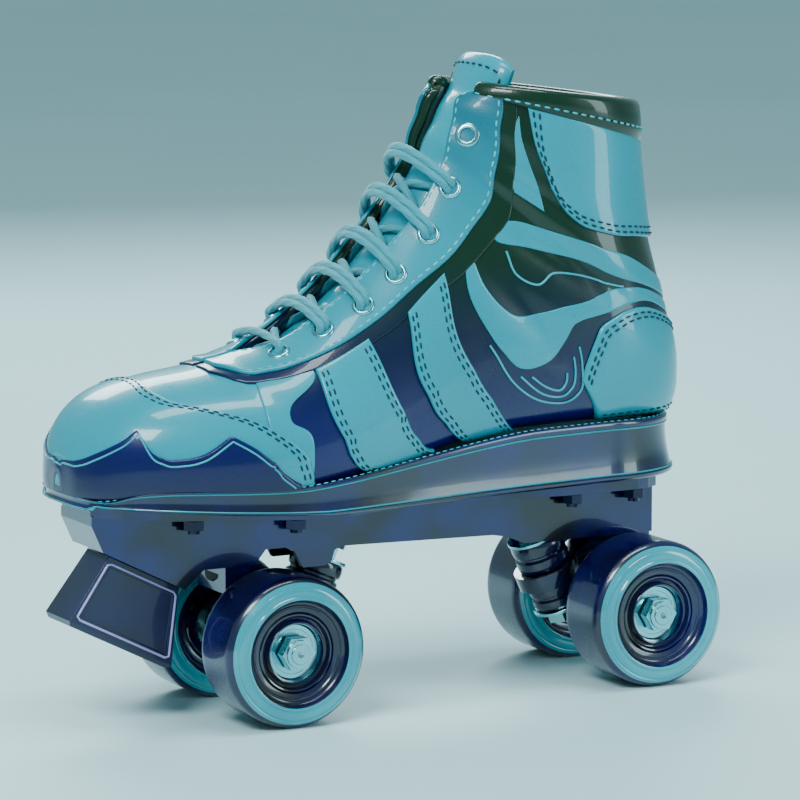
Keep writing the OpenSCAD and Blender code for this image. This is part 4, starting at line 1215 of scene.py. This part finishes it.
def make_stop_frames():
    corners = [(-19.3, -2.6, 10.75), (13.9, -2.6, 10.75), (17.9, -28.2, 12.1), (-27.6, -28.2, 12.1)]
    for name, way in (("left", 1), ("right", -1)):
        path = []
        for k, (x, z, y) in enumerate(corners):
            nx, nz, ny = corners[(k + 1) % 4]
            for t in np.linspace(0.04, 0.96, 14):
                path.append(on_pad(mix(x, nx, t), way * mix(y, ny, t), mix(z, nz, t)))
        tube(f"toe_stop_{name}_frame", path, 0.5, 8, "frame_paint", closed=True)


# ---- Trucks' cushions ------------
SEAT = np.array([58.0, 0.0, 44.0])
TILT = math.atan2(15, 35)
KINGPIN = np.array([-math.sin(TILT), 0.0, math.cos(TILT)])


def cushion_profile(radius, height):
    wall = [[4.3, 0.0], [radius - 1.2, 0.0], [radius - 0.4, 0.3], [radius, 1.1],
            [radius + 0.25, height * 0.25], [radius, height * 0.4], [radius - 1.1, height * 0.47]]
    return wall + [[r, height - z] for r, z in reversed(wall)]


def make_cushions():
    for end, sign in ENDS:
        flip = np.array([sign, 1, 1])
        axis = KINGPIN * flip
        seat = SEAT * flip
        for which, low, height, radius in (("upper", 3.55, 13.0, 11.3), ("lower", -14.55, 11.0, 10.8)):
            base = seat + axis * low
            piece = lathe(f"{end}_{which}_bushing", cushion_profile(radius, height), base, axis,
                          "cushion_rubber", None)
            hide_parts(f"{end}_{which}_cushion")
            near, far = base, base + axis * height
            if which == "lower":
                near, far = far, near
            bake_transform(piece)


# ---- CAD nodes that stay ------------
def finish_cad_nodes():
    """Gives the kept CAD nodes a small rounded edge and a node material."""
    slots = {part["node"]: part["material_slot"] for part in frame["record"]["subparts"]}
    bevels = {"baseplate": 0.7, "toe_stop": 0.9, "front_hanger": 0.7, "rear_hanger": 0.7}
    for name, slot in slots.items():
        node = bpy.data.objects[name] if name in bpy.data.objects else None
        if node is None or node.hide_render:
            continue
        node.data.materials.clear()
        node.data.materials.append(M[slot] if slot in M else M["bright_steel"])
        weld = node.modifiers.new("weld", "WELD")
        weld.merge_threshold = 0.00001
        bevel = node.modifiers.new("bevel", "BEVEL")
        bevel.width = bevels.get(name, 0.25) * MM
        bevel.segments = 3 if name in bevels else 2
        bevel.limit_method = "ANGLE"
        bevel.angle_limit = math.radians(40)
        bevel.harden_normals = True


# ---- Floor ------------
def make_floor():
    paint = Paint("floor", rough=0.55, specular=0.3)
    paint.colour(paint.ramp(paint.noise(3, 2), [(0.3, (0.6, 0.82, 0.85)), (0.7, (0.63, 0.85, 0.88))]))
    mesh = bpy.data.meshes.new("floor")
    half = 20
    corners = [(-half, -half, 0), (half, -half, 0), (half, half, 0), (-half, half, 0)]
    mesh.from_pydata(corners, [], [(0, 1, 2, 3)])
    mesh.materials.append(paint.material)
    floor = bpy.data.objects.new("floor", mesh)
    bpy.context.scene.collection.objects.link(floor)


make_floor()
make_laces()
make_upper()
make_tongue()
make_stitching()
make_sole()
make_welt_stitching()
make_wheels()
make_cushions()
make_stop_frames()
finish_cad_nodes()
